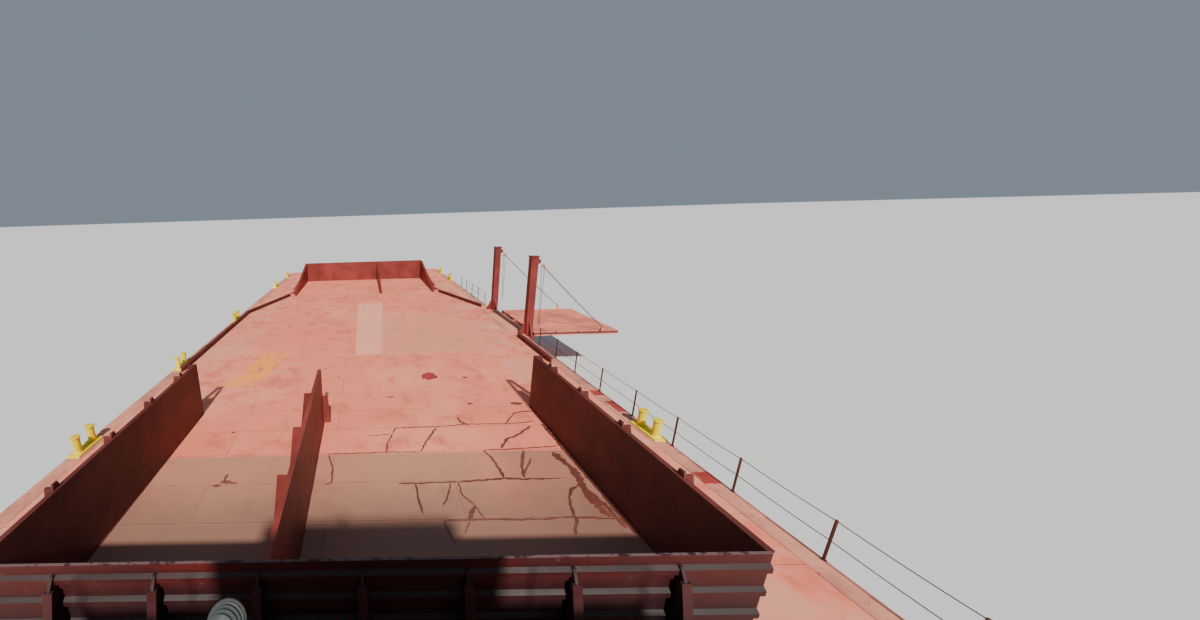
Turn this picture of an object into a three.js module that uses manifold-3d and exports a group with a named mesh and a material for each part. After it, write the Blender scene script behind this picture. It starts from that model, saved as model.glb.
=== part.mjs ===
// A river deck-cargo barge with a lowered side ramp, as a scale model of 1:2.
// Millimetres of the model: 500 mm stand for one metre of the full-size barge.
// +Y points to the bow, +X to starboard, +Z up. The origin is on the flat bottom, amidships.

import * as THREE from 'three';
import { mergeVertices } from 'three/addons/utils/BufferGeometryUtils.js';
import Module from 'manifold-3d';

const wasm = await Module();
wasm.setup();

// Hull
const hullLength = 34000;
const halfBeam = 5825;
const deck = 2100;
const bowRake = { length: 3900, stemHeight: 850, stemSlope: 150 };
const sternRake = { length: 2300, transomHeight: 900 };
const bilgeRadius = 200;
const planCornerRadius = 450;
const rubbingStrake = {
  radius: 75,
  runs: [{ z: 1970, aft: -16500, fore: 16500 }, { z: 1150, aft: -15900, fore: 15000 }],
};
const skegSize = { x: 3600, thickness: 80, aft: -16700, foot: 300, fore: -13500 };
const seam = 0.3;                       // the gap that pieces keep where they rest on each other

// Cargo deck: walls, bulkheads and coamings. The bulwark is that of the bow bulkhead and its fins.
const wall = { inner: 3800, height: 1250, plate: 30, flange: 70, flangeDrop: 25 };
const wallLug = { x: 36, thickness: 28, length: 120, height: 85, taper: 25 };
const aftBulkheadY = -9750;
const aftBulkheadPlate = 25;
const wallEndY = -4740;
const dividerEndY = -5215;
const endPost = 75;
const frameY = [-8680, -7580, -6490];
const endFrameY = -5400;
const wallBracket = { foot: 440, head: 170, thickness: 30 };
const dividerX = -915;
const dividerFrameY = [-8540, -7440, -6310];
const dividerBracket = { foot: 350, head: 165, thickness: 30 };
const buttress = {
  count: 7, firstX: 2975, spacing: 1000, foot: 400, head: 115, headHeight: 1040, tip: 1150,
  thickness: 30, flange: 90,
};
const swedge = { heights: [250, 525, 805, 1080], depth: 36, base: 60, crest: 28 };
const bowBulkhead = { y: 12800, halfWidth: 3900, height: 1225 };
const wingFootY = 8050;
const wingFootHeight = 120;
const bowFinX = 880;
const wingBrackets = [8700, 9900, 11100, 12300];
const wingBracketFoot = 560;
const bulwark = { plate: 50, flange: 130, flangeDrop: 40 };
const coaming = {
  x: 5440, height: 150, webInset: 30, web: 30, flange: 108, drop: 25, aftY: -2300, kneeY: 4400,
};

// Side ramp, starboard
const post = { aftY: 425, forwardY: 4035, centreX: 5955, width: 240, height: 2800 };
const postLug = { reach: 120, thickness: 50, low: 240, high: 90 };
const sponson = { outer: 6075, aftY: 150, forwardY: 4310, thickness: 130, knee: 520 };
const ramp = { aftY: 470, forwardY: 3760, hingeX: 6180, hingeDrop: 50, outer: 9280, thickness: 120 };
const hingeBarrel = { radius: 35, length: 240, web: 40, aftOffset: 340, spacing: 1050, pairs: 3 };
const chainLug = { x: 8700, height: 120 };
const chain = { radius: 16, footRise: 11.65 };
const chains = [
  { name: 'ramp_chain_aft', postY: post.aftY, lugY: ramp.aftY + 30, headGap: 0.46 },
  { name: 'ramp_chain_forward', postY: post.forwardY, lugY: ramp.forwardY - 30, headGap: 1.21 },
];

// Deck fittings
const bollard = {
  x: 5695, radius: 72, height: 350, capRadius: 92, spacing: 400, baseWidth: 250, base: 45,
};
const edgeStrip = { inner: 5530, outer: 5820, thickness: 12 };
const stanchion = { x: 5800, height: 620, radius: 16, wireRadius: 9, wireHeights: [310, 600], sides: 4 };
const deckEdges = [
  { name: 'deck_edge_port', side: -1, aft: -16300, fore: 16300,
    bollardY: [-14900, -11100, -6000, -1850, 3300, 10950, 14800], stanchionY: [] },
  { name: 'deck_edge_starboard_aft', side: 1, aft: -16300, fore: -60,
    bollardY: [-14900, -11100, -5880],
    stanchionY: [-9900, -8750, -7550, -6360, -5280, -4120, -3000, -1950, -850] },
  { name: 'deck_edge_starboard_forward', side: 1, aft: 4520, fore: 16300,
    bollardY: [11800, 14800], stanchionY: [4900, 6000, 7100, 8200, 9300] },
];
const hatchX = 1500;
const hatch = { y: 15300, width: 700, length: 700, height: 330, wall: 35, lid: 40, overlap: 30 };
const winchShaft = { radius: 55, hole: 55.8 };

// Deckhouse at the stern: two stores, a bridging deck, a cabin and a wheelhouse
const panel = 60;
const slab = 60;
const tierHeight = { store: 1150, cabin: 1125, wheelhouse: 1100 };
const storeTier = { inner: 1300, outer: 3000, aft: -15500, fore: -11250 };
const cabinTier = { halfWidth: 2600, aft: -15100, fore: -11900 };
const wheelTier = { halfWidth: 1300, aft: -14600, fore: -12250 };
const slabOverhang = 200;
const windowWidth = 340;
const wheelRoof = { halfWidth: 1400, aft: -14850, fore: -12050, thickness: 110 };
const floodlight = { x: -245, reach: 100, rise: 80, radius: 38, depth: 60, tilt: -0.6 };
const door = { width: 440, height: 960, sill: 60, thickness: 36, lap: 20, clearance: 5 };
const doorHinge = { radius: 16, offset: 30, leafHeights: [80, 760], leafLength: 120, lugLength: 60 };
const rail = { height: 500, radius: 15, postStep: 1050, midHeight: 260, inset: 60, sides: 4 };
const ladderGap = 1150;
const ladderSize = { width: 450, run: 190, stringer: 80, tread: 70, rise: 140 };
const mast = { y: -14500, height: 1700, radius: 45 };

const half = hullLength / 2;
const bridgeDeck = deck + seam + tierHeight.store;
const cabinFloor = bridgeDeck + seam + slab;
const cabinDeck = cabinFloor + seam + tierHeight.cabin;
const wheelFloor = cabinDeck + seam + slab;
const roofUnder = wheelFloor + seam + tierHeight.wheelhouse;
const onDeck = deck + seam;

// Paints: colour, roughness and metalness
const redOxide = { color: 0x8e3b33, roughness: 0.7, metalness: 0.1 };
const deckRed = { color: 0xb4695c, roughness: 0.85, metalness: 0.05 };
const mooringYellow = { color: 0xe3c81e, roughness: 0.5, metalness: 0.1 };
const houseWhite = { color: 0xe6e6e0, roughness: 0.5, metalness: 0.05 };
const houseBlue = { color: 0x1f3f74, roughness: 0.5, metalness: 0.05 };
const railOrange = { color: 0xd77a2c, roughness: 0.5, metalness: 0.1 };
const machineRed = { color: 0x7a2f2b, roughness: 0.6, metalness: 0.2 };
const bareSteel = { color: 0x6b5a50, roughness: 0.6, metalness: 0.7 };

const barge = new THREE.Group();

// Shapes

function solidOf(geometry) {
  const bare = geometry.clone();
  bare.deleteAttribute('normal');
  bare.deleteAttribute('uv');
  const merged = mergeVertices(bare, 1e-3);
  const corners = Array.from(merged.index.array);
  const kept = [];
  for (let i = 0; i < corners.length; i += 3) {
    const [a, b, c] = corners.slice(i, i + 3);
    if (a !== b && b !== c && c !== a) kept.push(a, b, c);
  }
  return new wasm.Manifold(new wasm.Mesh({
    numProp: 3,
    vertProperties: merged.attributes.position.array,
    triVerts: Uint32Array.from(kept),
  }));
}

function box(x0, x1, y0, y1, z0, z1) {
  const geometry = new THREE.BoxGeometry(x1 - x0, y1 - y0, z1 - z0);
  return solidOf(geometry.translate((x0 + x1) / 2, (y0 + y1) / 2, (z0 + z1) / 2));
}

// An outline given thickness along X (its points are [y, z]), Y ([x, z]) or Z ([x, y])
function plate(outline, axis, from, to) {
  const shape = outline instanceof THREE.Shape
    ? outline
    : new THREE.Shape(outline.map(([a, b]) => new THREE.Vector2(a, b)));
  const settings = { depth: to - from, bevelEnabled: false, curveSegments: 6 };
  const geometry = new THREE.ExtrudeGeometry(shape, settings);
  if (axis === 'z') geometry.translate(0, 0, from);
  if (axis === 'y') geometry.translate(0, 0, -to).rotateX(Math.PI / 2);
  if (axis === 'x') {
    geometry.translate(0, 0, from);
    geometry.applyMatrix4(new THREE.Matrix4().set(0, 0, 1, 0, 1, 0, 0, 0, 0, 1, 0, 0, 0, 0, 0, 1));
  }
  return solidOf(geometry);
}

function rod(from, to, radius, sides = 8) {
  const start = new THREE.Vector3(...from);
  const run = new THREE.Vector3(...to).sub(start);
  const geometry = new THREE.CylinderGeometry(radius, radius, run.length(), sides);
  geometry.translate(0, run.length() / 2, 0);
  const upright = new THREE.Vector3(0, 1, 0);
  geometry.applyQuaternion(new THREE.Quaternion().setFromUnitVectors(upright, run.normalize()));
  return solidOf(geometry.translate(start.x, start.y, start.z));
}

// A round piece from a profile of [radius, height] points that starts and ends on its upright axis
function turned(profile, sides = 16) {
  const geometry = new THREE.LatheGeometry(profile.map(([r, h]) => new THREE.Vector2(r, h)), sides);
  return solidOf(geometry.rotateX(Math.PI / 2));
}

// A square bar between two points that lie in one plane across X
function squareBar(x0, x1, [ya, za], [yb, zb], width) {
  const run = Math.hypot(yb - ya, zb - za);
  const ny = (-(zb - za) / run) * (width / 2);
  const nz = ((yb - ya) / run) * (width / 2);
  const outline = [[ya + ny, za + nz], [ya - ny, za - nz], [yb - ny, zb - nz], [yb + ny, zb + nz]];
  return plate(outline, 'x', x0, x1);
}

const join = (solids) => solids.reduce((whole, next) => whole.add(next));
const cut = (solid, tools) => tools.reduce((left, tool) => left.subtract(tool), solid);
const mirrored = (solid) => solid.mirror([1, 0, 0]);
const moved = (solid, x, y, z) => solid.translate([x, y, z]);

function addPart(name, solid, finish, [x, y, z] = [0, 0, 0]) {
  const { vertProperties, triVerts } = solid.getMesh();
  const geometry = new THREE.BufferGeometry();
  geometry.setAttribute('position', new THREE.BufferAttribute(vertProperties, 3));
  geometry.setIndex(new THREE.BufferAttribute(triVerts, 1));
  geometry.computeVertexNormals();
  const mesh = new THREE.Mesh(geometry, new THREE.MeshStandardMaterial(finish));
  mesh.name = name;
  mesh.position.set(x, y, z);
  barge.add(mesh);
}

// Hull

function hullSolid() {
  const side = new THREE.Shape();
  side.moveTo(-half, deck);
  side.lineTo(-half, sternRake.transomHeight);
  side.quadraticCurveTo(-half + sternRake.length * 0.6, 0, -half + sternRake.length + 600, 0);
  side.lineTo(half - bowRake.length - 900, 0);
  const stemFoot = [half - bowRake.stemSlope, deck - bowRake.stemHeight];
  side.quadraticCurveTo(half - bowRake.length * 0.6, 0, ...stemFoot);
  side.lineTo(half, deck);

  const section = new THREE.Shape();
  section.moveTo(-halfBeam, deck);
  section.lineTo(-halfBeam, bilgeRadius);
  section.absarc(-halfBeam + bilgeRadius, bilgeRadius, bilgeRadius, Math.PI, 1.5 * Math.PI);
  section.absarc(halfBeam - bilgeRadius, bilgeRadius, bilgeRadius, 1.5 * Math.PI, 2 * Math.PI);
  section.lineTo(halfBeam, deck);

  const plan = new THREE.Shape();
  const r = planCornerRadius;
  plan.absarc(halfBeam - r, half - r, r, 0, Math.PI / 2);
  plan.absarc(-halfBeam + r, half - r, r, Math.PI / 2, Math.PI);
  plan.absarc(-halfBeam + r, -half + r, r, Math.PI, 1.5 * Math.PI);
  plan.absarc(halfBeam - r, -half + r, r, 1.5 * Math.PI, 2 * Math.PI);

  const lengthwise = plate(side, 'x', -halfBeam, halfBeam);
  const across = plate(section, 'y', -half, half);
  return lengthwise.intersect(across).intersect(plate(plan, 'z', 0, deck));
}

// Half-round strakes along the starboard side, at the deck edge and halfway down
function rubbingStrakes() {
  return rubbingStrake.runs.map(({ z, aft, fore }) => {
    const profile = new THREE.Shape();
    profile.moveTo(halfBeam - 1, z - rubbingStrake.radius);
    profile.absarc(halfBeam - 1, z, rubbingStrake.radius, -Math.PI / 2, Math.PI / 2);
    return plate(profile, 'y', aft, fore);
  });
}

// A fin under the stern rake, on the starboard side
function skeg() {
  const { x, thickness, aft, foot, fore } = skegSize;
  const outline = [[aft, 1100], [aft, foot], [fore - 1600, 20], [fore, 20], [fore, 300]];
  return plate(outline, 'x', x - thickness / 2, x + thickness / 2);
}

// The starboard strake stops clear of the brackets that carry the ramp
function hullWithFittings() {
  const strakes = join(rubbingStrakes());
  const fins = join([skeg(), mirrored(skeg())]);
  const rampBay = box(halfBeam, halfBeam + 200, sponson.aftY - 15, sponson.forwardY + 15, 1400, deck + 1);
  return join([hullSolid(), fins, strakes.subtract(rampBay), mirrored(strakes)]);
}

// Cargo deck

// A wall plate along Y with a top flange, a post at its forward end and brackets on one side.
// The plate's inner face is at x = 0 and the brackets stand towards +X.
function cargoWall(bracket, endY, stations) {
  const top = wall.height;
  const start = aftBulkheadY + aftBulkheadPlate + seam;
  const brackets = stations.map((y) => plate(
    [[10, 0], [wall.plate + bracket.foot, 0], [wall.plate + bracket.head, top - 5], [10, top - 5]],
    'y', y, y + bracket.thickness));
  return join([
    box(0, wall.plate, start, endY, 0, top),
    box(0, wall.flange, start, endY, top - wall.flangeDrop, top),
    box(0, endPost, endY - endPost, endY, 0, top),
    ...brackets,
  ]);
}

// A side wall also has a lug over each bracket, along the wall, and an open end frame:
// a raking strut from the post's head to the deck outboard
function sideWallWithStrut() {
  const stations = [...frameY, endFrameY];
  const foot = wall.plate + wallBracket.foot;
  const top = wall.height - 5;
  const outline = [[endPost - 5, top], [wallBracket.head, top], [foot, 0], [foot - 80, 0]];
  const strut = plate(outline, 'y', wallEndY - endPost + 10, wallEndY - 10);
  const { x, thickness, length, height, taper } = wallLug;
  const lug = [[0, top], [length, top], [length - taper, top + height], [taper, top + height]];
  const lugs = stations.map((y) => moved(plate(lug, 'x', 0, thickness), x, y - length / 2, 0));
  return join([cargoWall(wallBracket, wallEndY, stations), strut, ...lugs]);
}

// The divider has its brackets to port and one low knee to starboard, at its forward end
function divider() {
  const standing = mirrored(cargoWall(dividerBracket, dividerEndY, dividerFrameY));
  const knee = plate([[-10, 0], [150, 0], [110, 640], [-10, 640]], 'y', dividerEndY - 40, dividerEndY - 10);
  return standing.add(knee);
}

// Its after face has horizontal swedges pressed into it and buttresses that stop them tipping
function aftBulkhead() {
  const reach = wall.inner + wall.plate;
  const face = aftBulkheadY;
  const parts = [box(-reach, reach, face, face + aftBulkheadPlate, 0, wall.height)];
  const { depth, base, crest } = swedge;
  for (const z of swedge.heights) {
    const section = [[face + 1, z - base], [face - depth, z - crest],
      [face - depth, z + crest], [face + 1, z + base]];
    parts.push(plate(section, 'x', -reach, reach));
  }
  const { foot, head, headHeight, tip, thickness, flange } = buttress;
  const inset = 10;
  for (let i = 0; i < buttress.count; i++) {
    const x = buttress.firstX - i * buttress.spacing;
    const web = [[face + 1, 1], [face - foot + inset, 1], [face - head + inset, headHeight - 1],
      [face - depth, tip], [face + 1, tip]];
    const edge = [[face - foot, 0], [face - foot + thickness, 0],
      [face - head + thickness, headHeight], [face - head, headHeight]];
    parts.push(plate(web, 'x', x - thickness / 2, x + thickness / 2));
    parts.push(plate(edge, 'x', x - flange / 2, x + flange / 2));
  }
  return join(parts);
}

function bowBulkheadSolid() {
  const { y, halfWidth, height } = bowBulkhead;
  const parts = [
    box(-halfWidth, halfWidth, y, y + bulwark.plate, 0, height),
    box(-halfWidth, halfWidth, y, y + bulwark.flange, height - bulwark.flangeDrop, height),
  ];
  for (let i = -3; i <= 3; i++) {
    const x = i * 1150;
    const web = [[y, 0], [y + 480, 0], [y + 170, height], [y, height]];
    parts.push(plate(web, 'x', x - 15, x + 15));
  }
  return join(parts);
}

// A fin along Y whose top slopes from the bow bulkhead down to the deck
function slopingFin(brackets) {
  const end = bowBulkhead.y - seam;
  const { height } = bowBulkhead;
  const slope = (height - wingFootHeight) / (end - wingFootY);
  const topAt = (y) => wingFootHeight + (y - wingFootY) * slope;
  const parts = [
    plate([[wingFootY, 0], [end, 0], [end, height], [wingFootY, wingFootHeight]], 'x', 0, bulwark.plate),
    squareBar(0, bulwark.flange, [wingFootY, wingFootHeight - 20], [end, height - 20], bulwark.flangeDrop)
      .trimByPlane([0, -1, 0], -end),
  ];
  for (const y of brackets) {
    const top = topAt(y) - 10;
    parts.push(plate([[10, 0], [wingBracketFoot, 0], [90, top], [10, top]], 'y', y, y + 30));
  }
  return join(parts);
}

// Points a given width to the right of a line of [x, y] corners, mitred where the line turns
function offsetLine(corners, width) {
  const normals = corners.slice(1).map(([x, y], i) => {
    const [px, py] = corners[i];
    const length = Math.hypot(x - px, y - py);
    return [(y - py) / length, -(x - px) / length];
  });
  return corners.map(([x, y], i) => {
    const before = normals[Math.max(i - 1, 0)];
    const after = normals[Math.min(i, normals.length - 1)];
    const reach = width / (1 + before[0] * after[0] + before[1] * after[1]);
    return [x + (before[0] + after[0]) * reach, y + (before[1] + after[1]) * reach];
  });
}

// A run of low coaming: an upright web under a flange whose inner edge is a line of [x, y] corners
function coamingRun(corners) {
  const { height, webInset, web, flange, drop } = coaming;
  const strip = (from, to) => [...offsetLine(corners, from), ...offsetLine(corners, to).reverse()];
  return join([
    plate(strip(webInset, webInset + web), 'z', 0, height - 1),
    plate(strip(0, flange), 'z', height - drop, height),
  ]);
}

// Side ramp

function rampPost() {
  const h = post.width / 2;
  const shaft = box(-h, h, -h, h, 0, post.height);
  const knee = (span) => plate([[-h - 230, 0], [h + 230, 0], [h, 520], [-h, 520]], span, -20, 20);
  return join([
    shaft,
    box(-h - 30, h + 30, -h - 30, h + 30, post.height - 1, post.height + 30),
    knee('x'),
    plate([[-h - 230, 0], [h, 0], [h, 520], [-h, 520]], 'y', -20, 20),
    box(h - 1, h + postLug.reach, -postLug.thickness / 2, postLug.thickness / 2,
      post.height - postLug.low, post.height - postLug.high),
  ]);
}

// Brackets that carry the posts and the ramp outside the shell, with the fixed hinge knuckles
function sponsonSolid() {
  const inner = halfBeam + seam;
  const { outer, aftY, forwardY, thickness, knee } = sponson;
  const parts = [box(inner, outer, aftY, forwardY, deck - thickness, deck)];
  const count = 7;
  for (let i = 0; i < count; i++) {
    const y = aftY + 20 + ((forwardY - aftY - 40) * i) / (count - 1);
    const under = deck - thickness + 1;
    const outline = [[inner, under], [inner, under - knee], [outer, under]];
    parts.push(plate(outline, 'y', y - 20, y + 20));
  }
  return join([...parts, ...hingeKnuckles('sponson')]);
}

// The hinge's knuckles stand in pairs, one on the sponson and, just forward of it, one on the ramp
function hingeKnuckles(owner) {
  const z = deck - ramp.hingeDrop;
  const { radius, length, web, aftOffset, spacing, pairs } = hingeBarrel;
  const offset = owner === 'ramp' ? length + seam : 0;
  const [near, far] = owner === 'ramp'
    ? [ramp.hingeX, ramp.hingeX + 2 * radius]
    : [sponson.outer - 1, ramp.hingeX];
  const knuckles = [];
  for (let i = 0; i < pairs; i++) {
    const y = ramp.aftY + aftOffset + i * spacing + offset;
    knuckles.push(rod([ramp.hingeX, y, z], [ramp.hingeX, y + length, z], radius, 12));
    knuckles.push(box(near, far, y, y + length, z - web / 2, z + web / 2));
  }
  return knuckles;
}

// The lowered ramp: a frame of girders under a plate
function sideRamp() {
  const z = deck - ramp.hingeDrop;
  const top = z + ramp.thickness / 2;
  const bottom = z - ramp.thickness / 2;
  const near = ramp.hingeX + 46;
  const { aftY, forwardY, outer } = ramp;
  const parts = [
    box(near, outer, aftY, forwardY, top - 30, top),
    box(near, near + 60, aftY, forwardY, bottom, top),
    box(outer - 60, outer, aftY, forwardY, bottom, top),
  ];
  for (let i = 0; i < 5; i++) {
    const y = aftY + ((forwardY - aftY - 60) * i) / 4;
    parts.push(box(near, outer, y, y + 60, bottom, top));
  }
  for (const y of [aftY, forwardY - 60]) {
    parts.push(box(chainLug.x - 60, chainLug.x + 60, y, y + 60, top - 1, top + chainLug.height));
  }
  return join([...parts, ...hingeKnuckles('ramp')]);
}

// A topping chain from the lug on a post's head to the lug on the ramp's edge, just clear of both
function toppingChain({ postY, lugY, headGap }) {
  const headX = post.centreX + post.width / 2 + postLug.reach + headGap;
  const head = [headX, postY, onDeck + post.height - postLug.low - headGap];
  const rampTop = deck - ramp.hingeDrop + ramp.thickness / 2;
  const lug = [chainLug.x, lugY, rampTop + chainLug.height + chain.footRise];
  return rod(head, lug, chain.radius, 6);
}

// Deck fittings

function doubleBollard() {
  const { radius, height, capRadius, spacing, baseWidth, base } = bollard;
  const profile = [[0, 0], [radius, 0], [radius, height - 45], [capRadius, height - 40],
    [capRadius, height - 8], [capRadius - 20, height], [0, height]];
  const upright = turned(profile, 12);
  const length = spacing + 2 * radius + 160;
  return join([
    box(-baseWidth / 2, baseWidth / 2, -length / 2, length / 2, 0, base),
    moved(upright, 0, -spacing / 2, base - 1),
    moved(upright, 0, spacing / 2, base - 1),
  ]);
}

// A doubler strip along the deck edge that carries the double bollards and the stanchions with their wires
function deckEdge({ aft, fore, bollardY, stanchionY }) {
  const { x, height, radius, wireRadius, wireHeights, sides } = stanchion;
  const parts = [box(edgeStrip.inner, edgeStrip.outer, aft, fore, 0, edgeStrip.thickness)];
  for (const y of bollardY) parts.push(moved(doubleBollard(), bollard.x, y, 1));
  for (const y of stanchionY) parts.push(rod([x, y, 1], [x, y, height], radius, sides));
  if (stanchionY.length > 0) {
    const [first, last] = [stanchionY[0], stanchionY[stanchionY.length - 1]];
    for (const z of wireHeights) parts.push(rod([x, first, z], [x, last, z], wireRadius, sides));
  }
  return join(parts);
}

function hatchCoaming() {
  const { width, length, height, wall: t } = hatch;
  const w = width / 2;
  const l = length / 2;
  return box(-w, w, -l, l, 0, height).subtract(box(-w + t, w - t, -l + t, l - t, 40, height + 1));
}

// The lid's own origin is on its hinge, at its after edge
function hatchLid() {
  const w = hatch.width / 2 + hatch.overlap;
  const reach = hatch.length + 2 * hatch.overlap;
  return join([
    box(-w, w, 0, reach, 0, hatch.lid),
    box(-60, 60, reach - 120, reach - 90, hatch.lid - 1, hatch.lid + 60),
  ]);
}

// A winch frame: bed, two side stands with a running hole for the drum's shaft, and a motor case
function winchFrame(width, depth, shaftHeight) {
  const w = width / 2;
  const d = depth / 2;
  const stand = (x) => plate(
    [[-d, 40], [d, 40], [150, shaftHeight + 150], [-150, shaftHeight + 150]], 'x', x - 30, x + 30)
    .subtract(rod([x - 40, 0, shaftHeight], [x + 40, 0, shaftHeight], winchShaft.hole, 24));
  return join([
    box(-w, w, -d, d, 0, 60),
    stand(-w + 30),
    stand(w - 30),
    box(w - 1, w + 380, -190, 190, 0, shaftHeight + 130),
    box(w + 100, w + 300, -120, 120, shaftHeight + 100, shaftHeight + 200),
  ]);
}

// The drum lies along X; its origin is the middle of the shaft
function winchDrum(width, drumRadius, flangeRadius) {
  const w = width / 2;
  const shaft = winchShaft.radius;
  const reach = w - 8;
  const profile = [[0, -reach], [shaft, -reach], [shaft, -w + 90], [flangeRadius, -w + 90],
    [flangeRadius, -w + 120], [drumRadius, -w + 120], [drumRadius, w - 120], [flangeRadius, w - 120],
    [flangeRadius, w - 90], [shaft, w - 90], [shaft, reach], [0, reach]];
  const geometry = new THREE.LatheGeometry(profile.map(([r, h]) => new THREE.Vector2(r, h)), 20);
  return solidOf(geometry.rotateZ(-Math.PI / 2));
}

// Deckhouse

// Window openings along a wall: evenly spaced on its length, as [from, to] spans
function spans(from, to, count, width) {
  const step = (to - from) / count;
  return Array.from({ length: count }, (_, i) => {
    const middle = from + step * (i + 0.5);
    return [middle - width / 2, middle + width / 2];
  });
}

// A wall across the ship, at y to y + panel, with windows given as x spans
function crossWall(x0, x1, y, floor, height, windows, [sill, head]) {
  const holes = windows.map(([a, b]) => box(a, b, y - 1, y + panel + 1, floor + sill, floor + head));
  return cut(box(x0, x1, y, y + panel, floor, floor + height), holes);
}

// A wall along the ship, at x to x + panel, with windows given as y spans
function sideWall(x, y0, y1, floor, height, windows, [sill, head]) {
  const holes = windows.map(([a, b]) => box(x - 1, x + panel + 1, a, b, floor + sill, floor + head));
  return cut(box(x, x + panel, y0, y1, floor, floor + height), holes);
}

// Distance from a wall's face to the hinge line of the door that hangs on that face
const hingeStandOff = door.clearance + door.thickness / 2;

// Cuts the doorway in a side wall and adds the two lugs that its door hangs on.
// The face is where the door lies, and out is +1 or -1, the way it faces along X.
function withDoorway(sideWallSolid, face, out, hingeY, floor) {
  const from = hingeY + doorHinge.offset + door.lap;
  const low = floor + door.sill;
  const opening = box(face - panel - 5, face + panel + 5, from, from + door.width - 2 * door.lap,
    low + door.lap, low + door.height - door.lap);
  const axisX = face + out * hingeStandOff;
  const r = doorHinge.radius;
  const lugs = doorHinge.leafHeights.map((height) => {
    const top = low + height - seam;
    const [near, far] = out > 0 ? [face - 1, axisX] : [axisX, face + 1];
    return join([
      rod([axisX, hingeY, top - doorHinge.lugLength], [axisX, hingeY, top], r, 8),
      box(near, far, hingeY - r / 2, hingeY + r / 2, top - doorHinge.lugLength, top),
    ]);
  });
  return join([sideWallSolid.subtract(opening), ...lugs]);
}

// A door leaf whose hinge line is its own origin and which lies towards +Y
function doorLeaf(withWindow) {
  const t = door.thickness / 2;
  const edge = doorHinge.offset;
  const parts = [
    box(-t, t, edge, edge + door.width, 0, door.height),
    box(-t - 26, t + 26, edge + door.width - 80, edge + door.width - 40, 440, 462),
  ];
  for (const height of doorHinge.leafHeights) {
    const top = height + doorHinge.leafLength;
    parts.push(rod([0, 0, height], [0, 0, top], doorHinge.radius, 8));
    parts.push(box(-8, 8, 0, edge + 1, height, top));
  }
  if (!withWindow) return join(parts);
  return join(parts).subtract(box(-t - 1, t + 1, edge + 80, edge + door.width - 120, 560, 840));
}

// A run of rail from one [x, y] point to another, posts standing on z
function railRun([xa, ya], [xb, yb], z) {
  const length = Math.hypot(xb - xa, yb - ya);
  const count = Math.max(1, Math.round(length / rail.postStep));
  const parts = [];
  for (const h of [rail.midHeight, rail.height]) {
    parts.push(rod([xa, ya, z + h], [xb, yb, z + h], rail.radius, rail.sides));
  }
  for (let i = 0; i <= count; i++) {
    const x = xa + ((xb - xa) * i) / count;
    const y = ya + ((yb - ya) * i) / count;
    parts.push(rod([x, y, z], [x, y, z + rail.height], rail.radius, rail.sides));
  }
  return join(parts);
}

// A ladder that stands on one floor and hooks over the after edge of the deck above it
function ladder(x, floor, deckEdgeY, deckTop) {
  const { width, run, stringer, tread } = ladderSize;
  const yHead = deckEdgeY - seam - stringer / 2;
  const yFoot = yHead - run;
  const zFoot = floor + seam;
  const zHead = deckTop + seam + 20;
  const outline = [[yFoot - stringer / 2, zFoot], [yFoot + stringer / 2, zFoot],
    [yHead + stringer / 2, zHead], [yHead - stringer / 2, zHead]];
  const parts = [];
  for (const side of [x, x + width - 20]) {
    parts.push(plate(outline, 'x', side, side + 20));
    parts.push(box(side, side + 20, yHead, deckEdgeY + 60, zHead - 20, zHead));
  }
  const steps = Math.round((zHead - zFoot) / ladderSize.rise);
  for (let i = 1; i < steps; i++) {
    const y = yFoot + (run * i) / steps;
    const z = zFoot + ((zHead - zFoot) * i) / steps;
    parts.push(box(x + 10, x + width - 10, y - tread / 2, y + tread / 2, z - 8, z + 8));
  }
  return join(parts);
}

function signalMast() {
  const foot = 0;
  const profile = [[0, foot], [mast.radius, foot], [mast.radius * 0.6, mast.height], [0, mast.height]];
  return join([
    turned(profile, 12),
    box(-110, 110, -110, 110, foot, 24),
    box(-420, 420, -18, 18, mast.height * 0.72, mast.height * 0.72 + 36),
    rod([0, 0, mast.height * 0.9], [0, 170, mast.height * 0.9], 16, 6),
    moved(turned([[0, 0], [48, 0], [48, 110], [0, 110]], 10), 0, 170, mast.height * 0.9 - 50),
    moved(turned([[0, 0], [48, 0], [48, 110], [0, 110]], 10), 0, 0, mast.height - 1),
  ]);
}

// A floodlight on an arm that reaches out over the roof's forward edge, looking forward and down
function floodlightOnArm() {
  const { reach, rise, radius, depth, tilt } = floodlight;
  const profile = [[0, 0], [radius * 0.5, 0], [radius, depth * 0.7], [radius, depth], [0, depth]];
  const bowl = new THREE.LatheGeometry(profile.map(([r, h]) => new THREE.Vector2(r, h - depth)), 16);
  const lamp = solidOf(bowl.rotateX(tilt).translate(0, reach, rise));
  return join([
    lamp,
    box(-12, 12, -80, reach - 30, 0, 16),
    box(-12, 12, reach - 45, reach - 25, 0, rise),
    box(-45, 45, -90, -40, 0, 8),
  ]);
}

function lifebuoy() {
  const ring = new THREE.Shape().absarc(0, 0, 185, 0, 2 * Math.PI);
  ring.holes.push(new THREE.Path().absarc(0, 0, 110, 0, 2 * Math.PI, true));
  return plate(ring, 'y', -35, 35);
}

// Hull and its outer fittings
addPart('hull', hullWithFittings(), deckRed);

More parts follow.
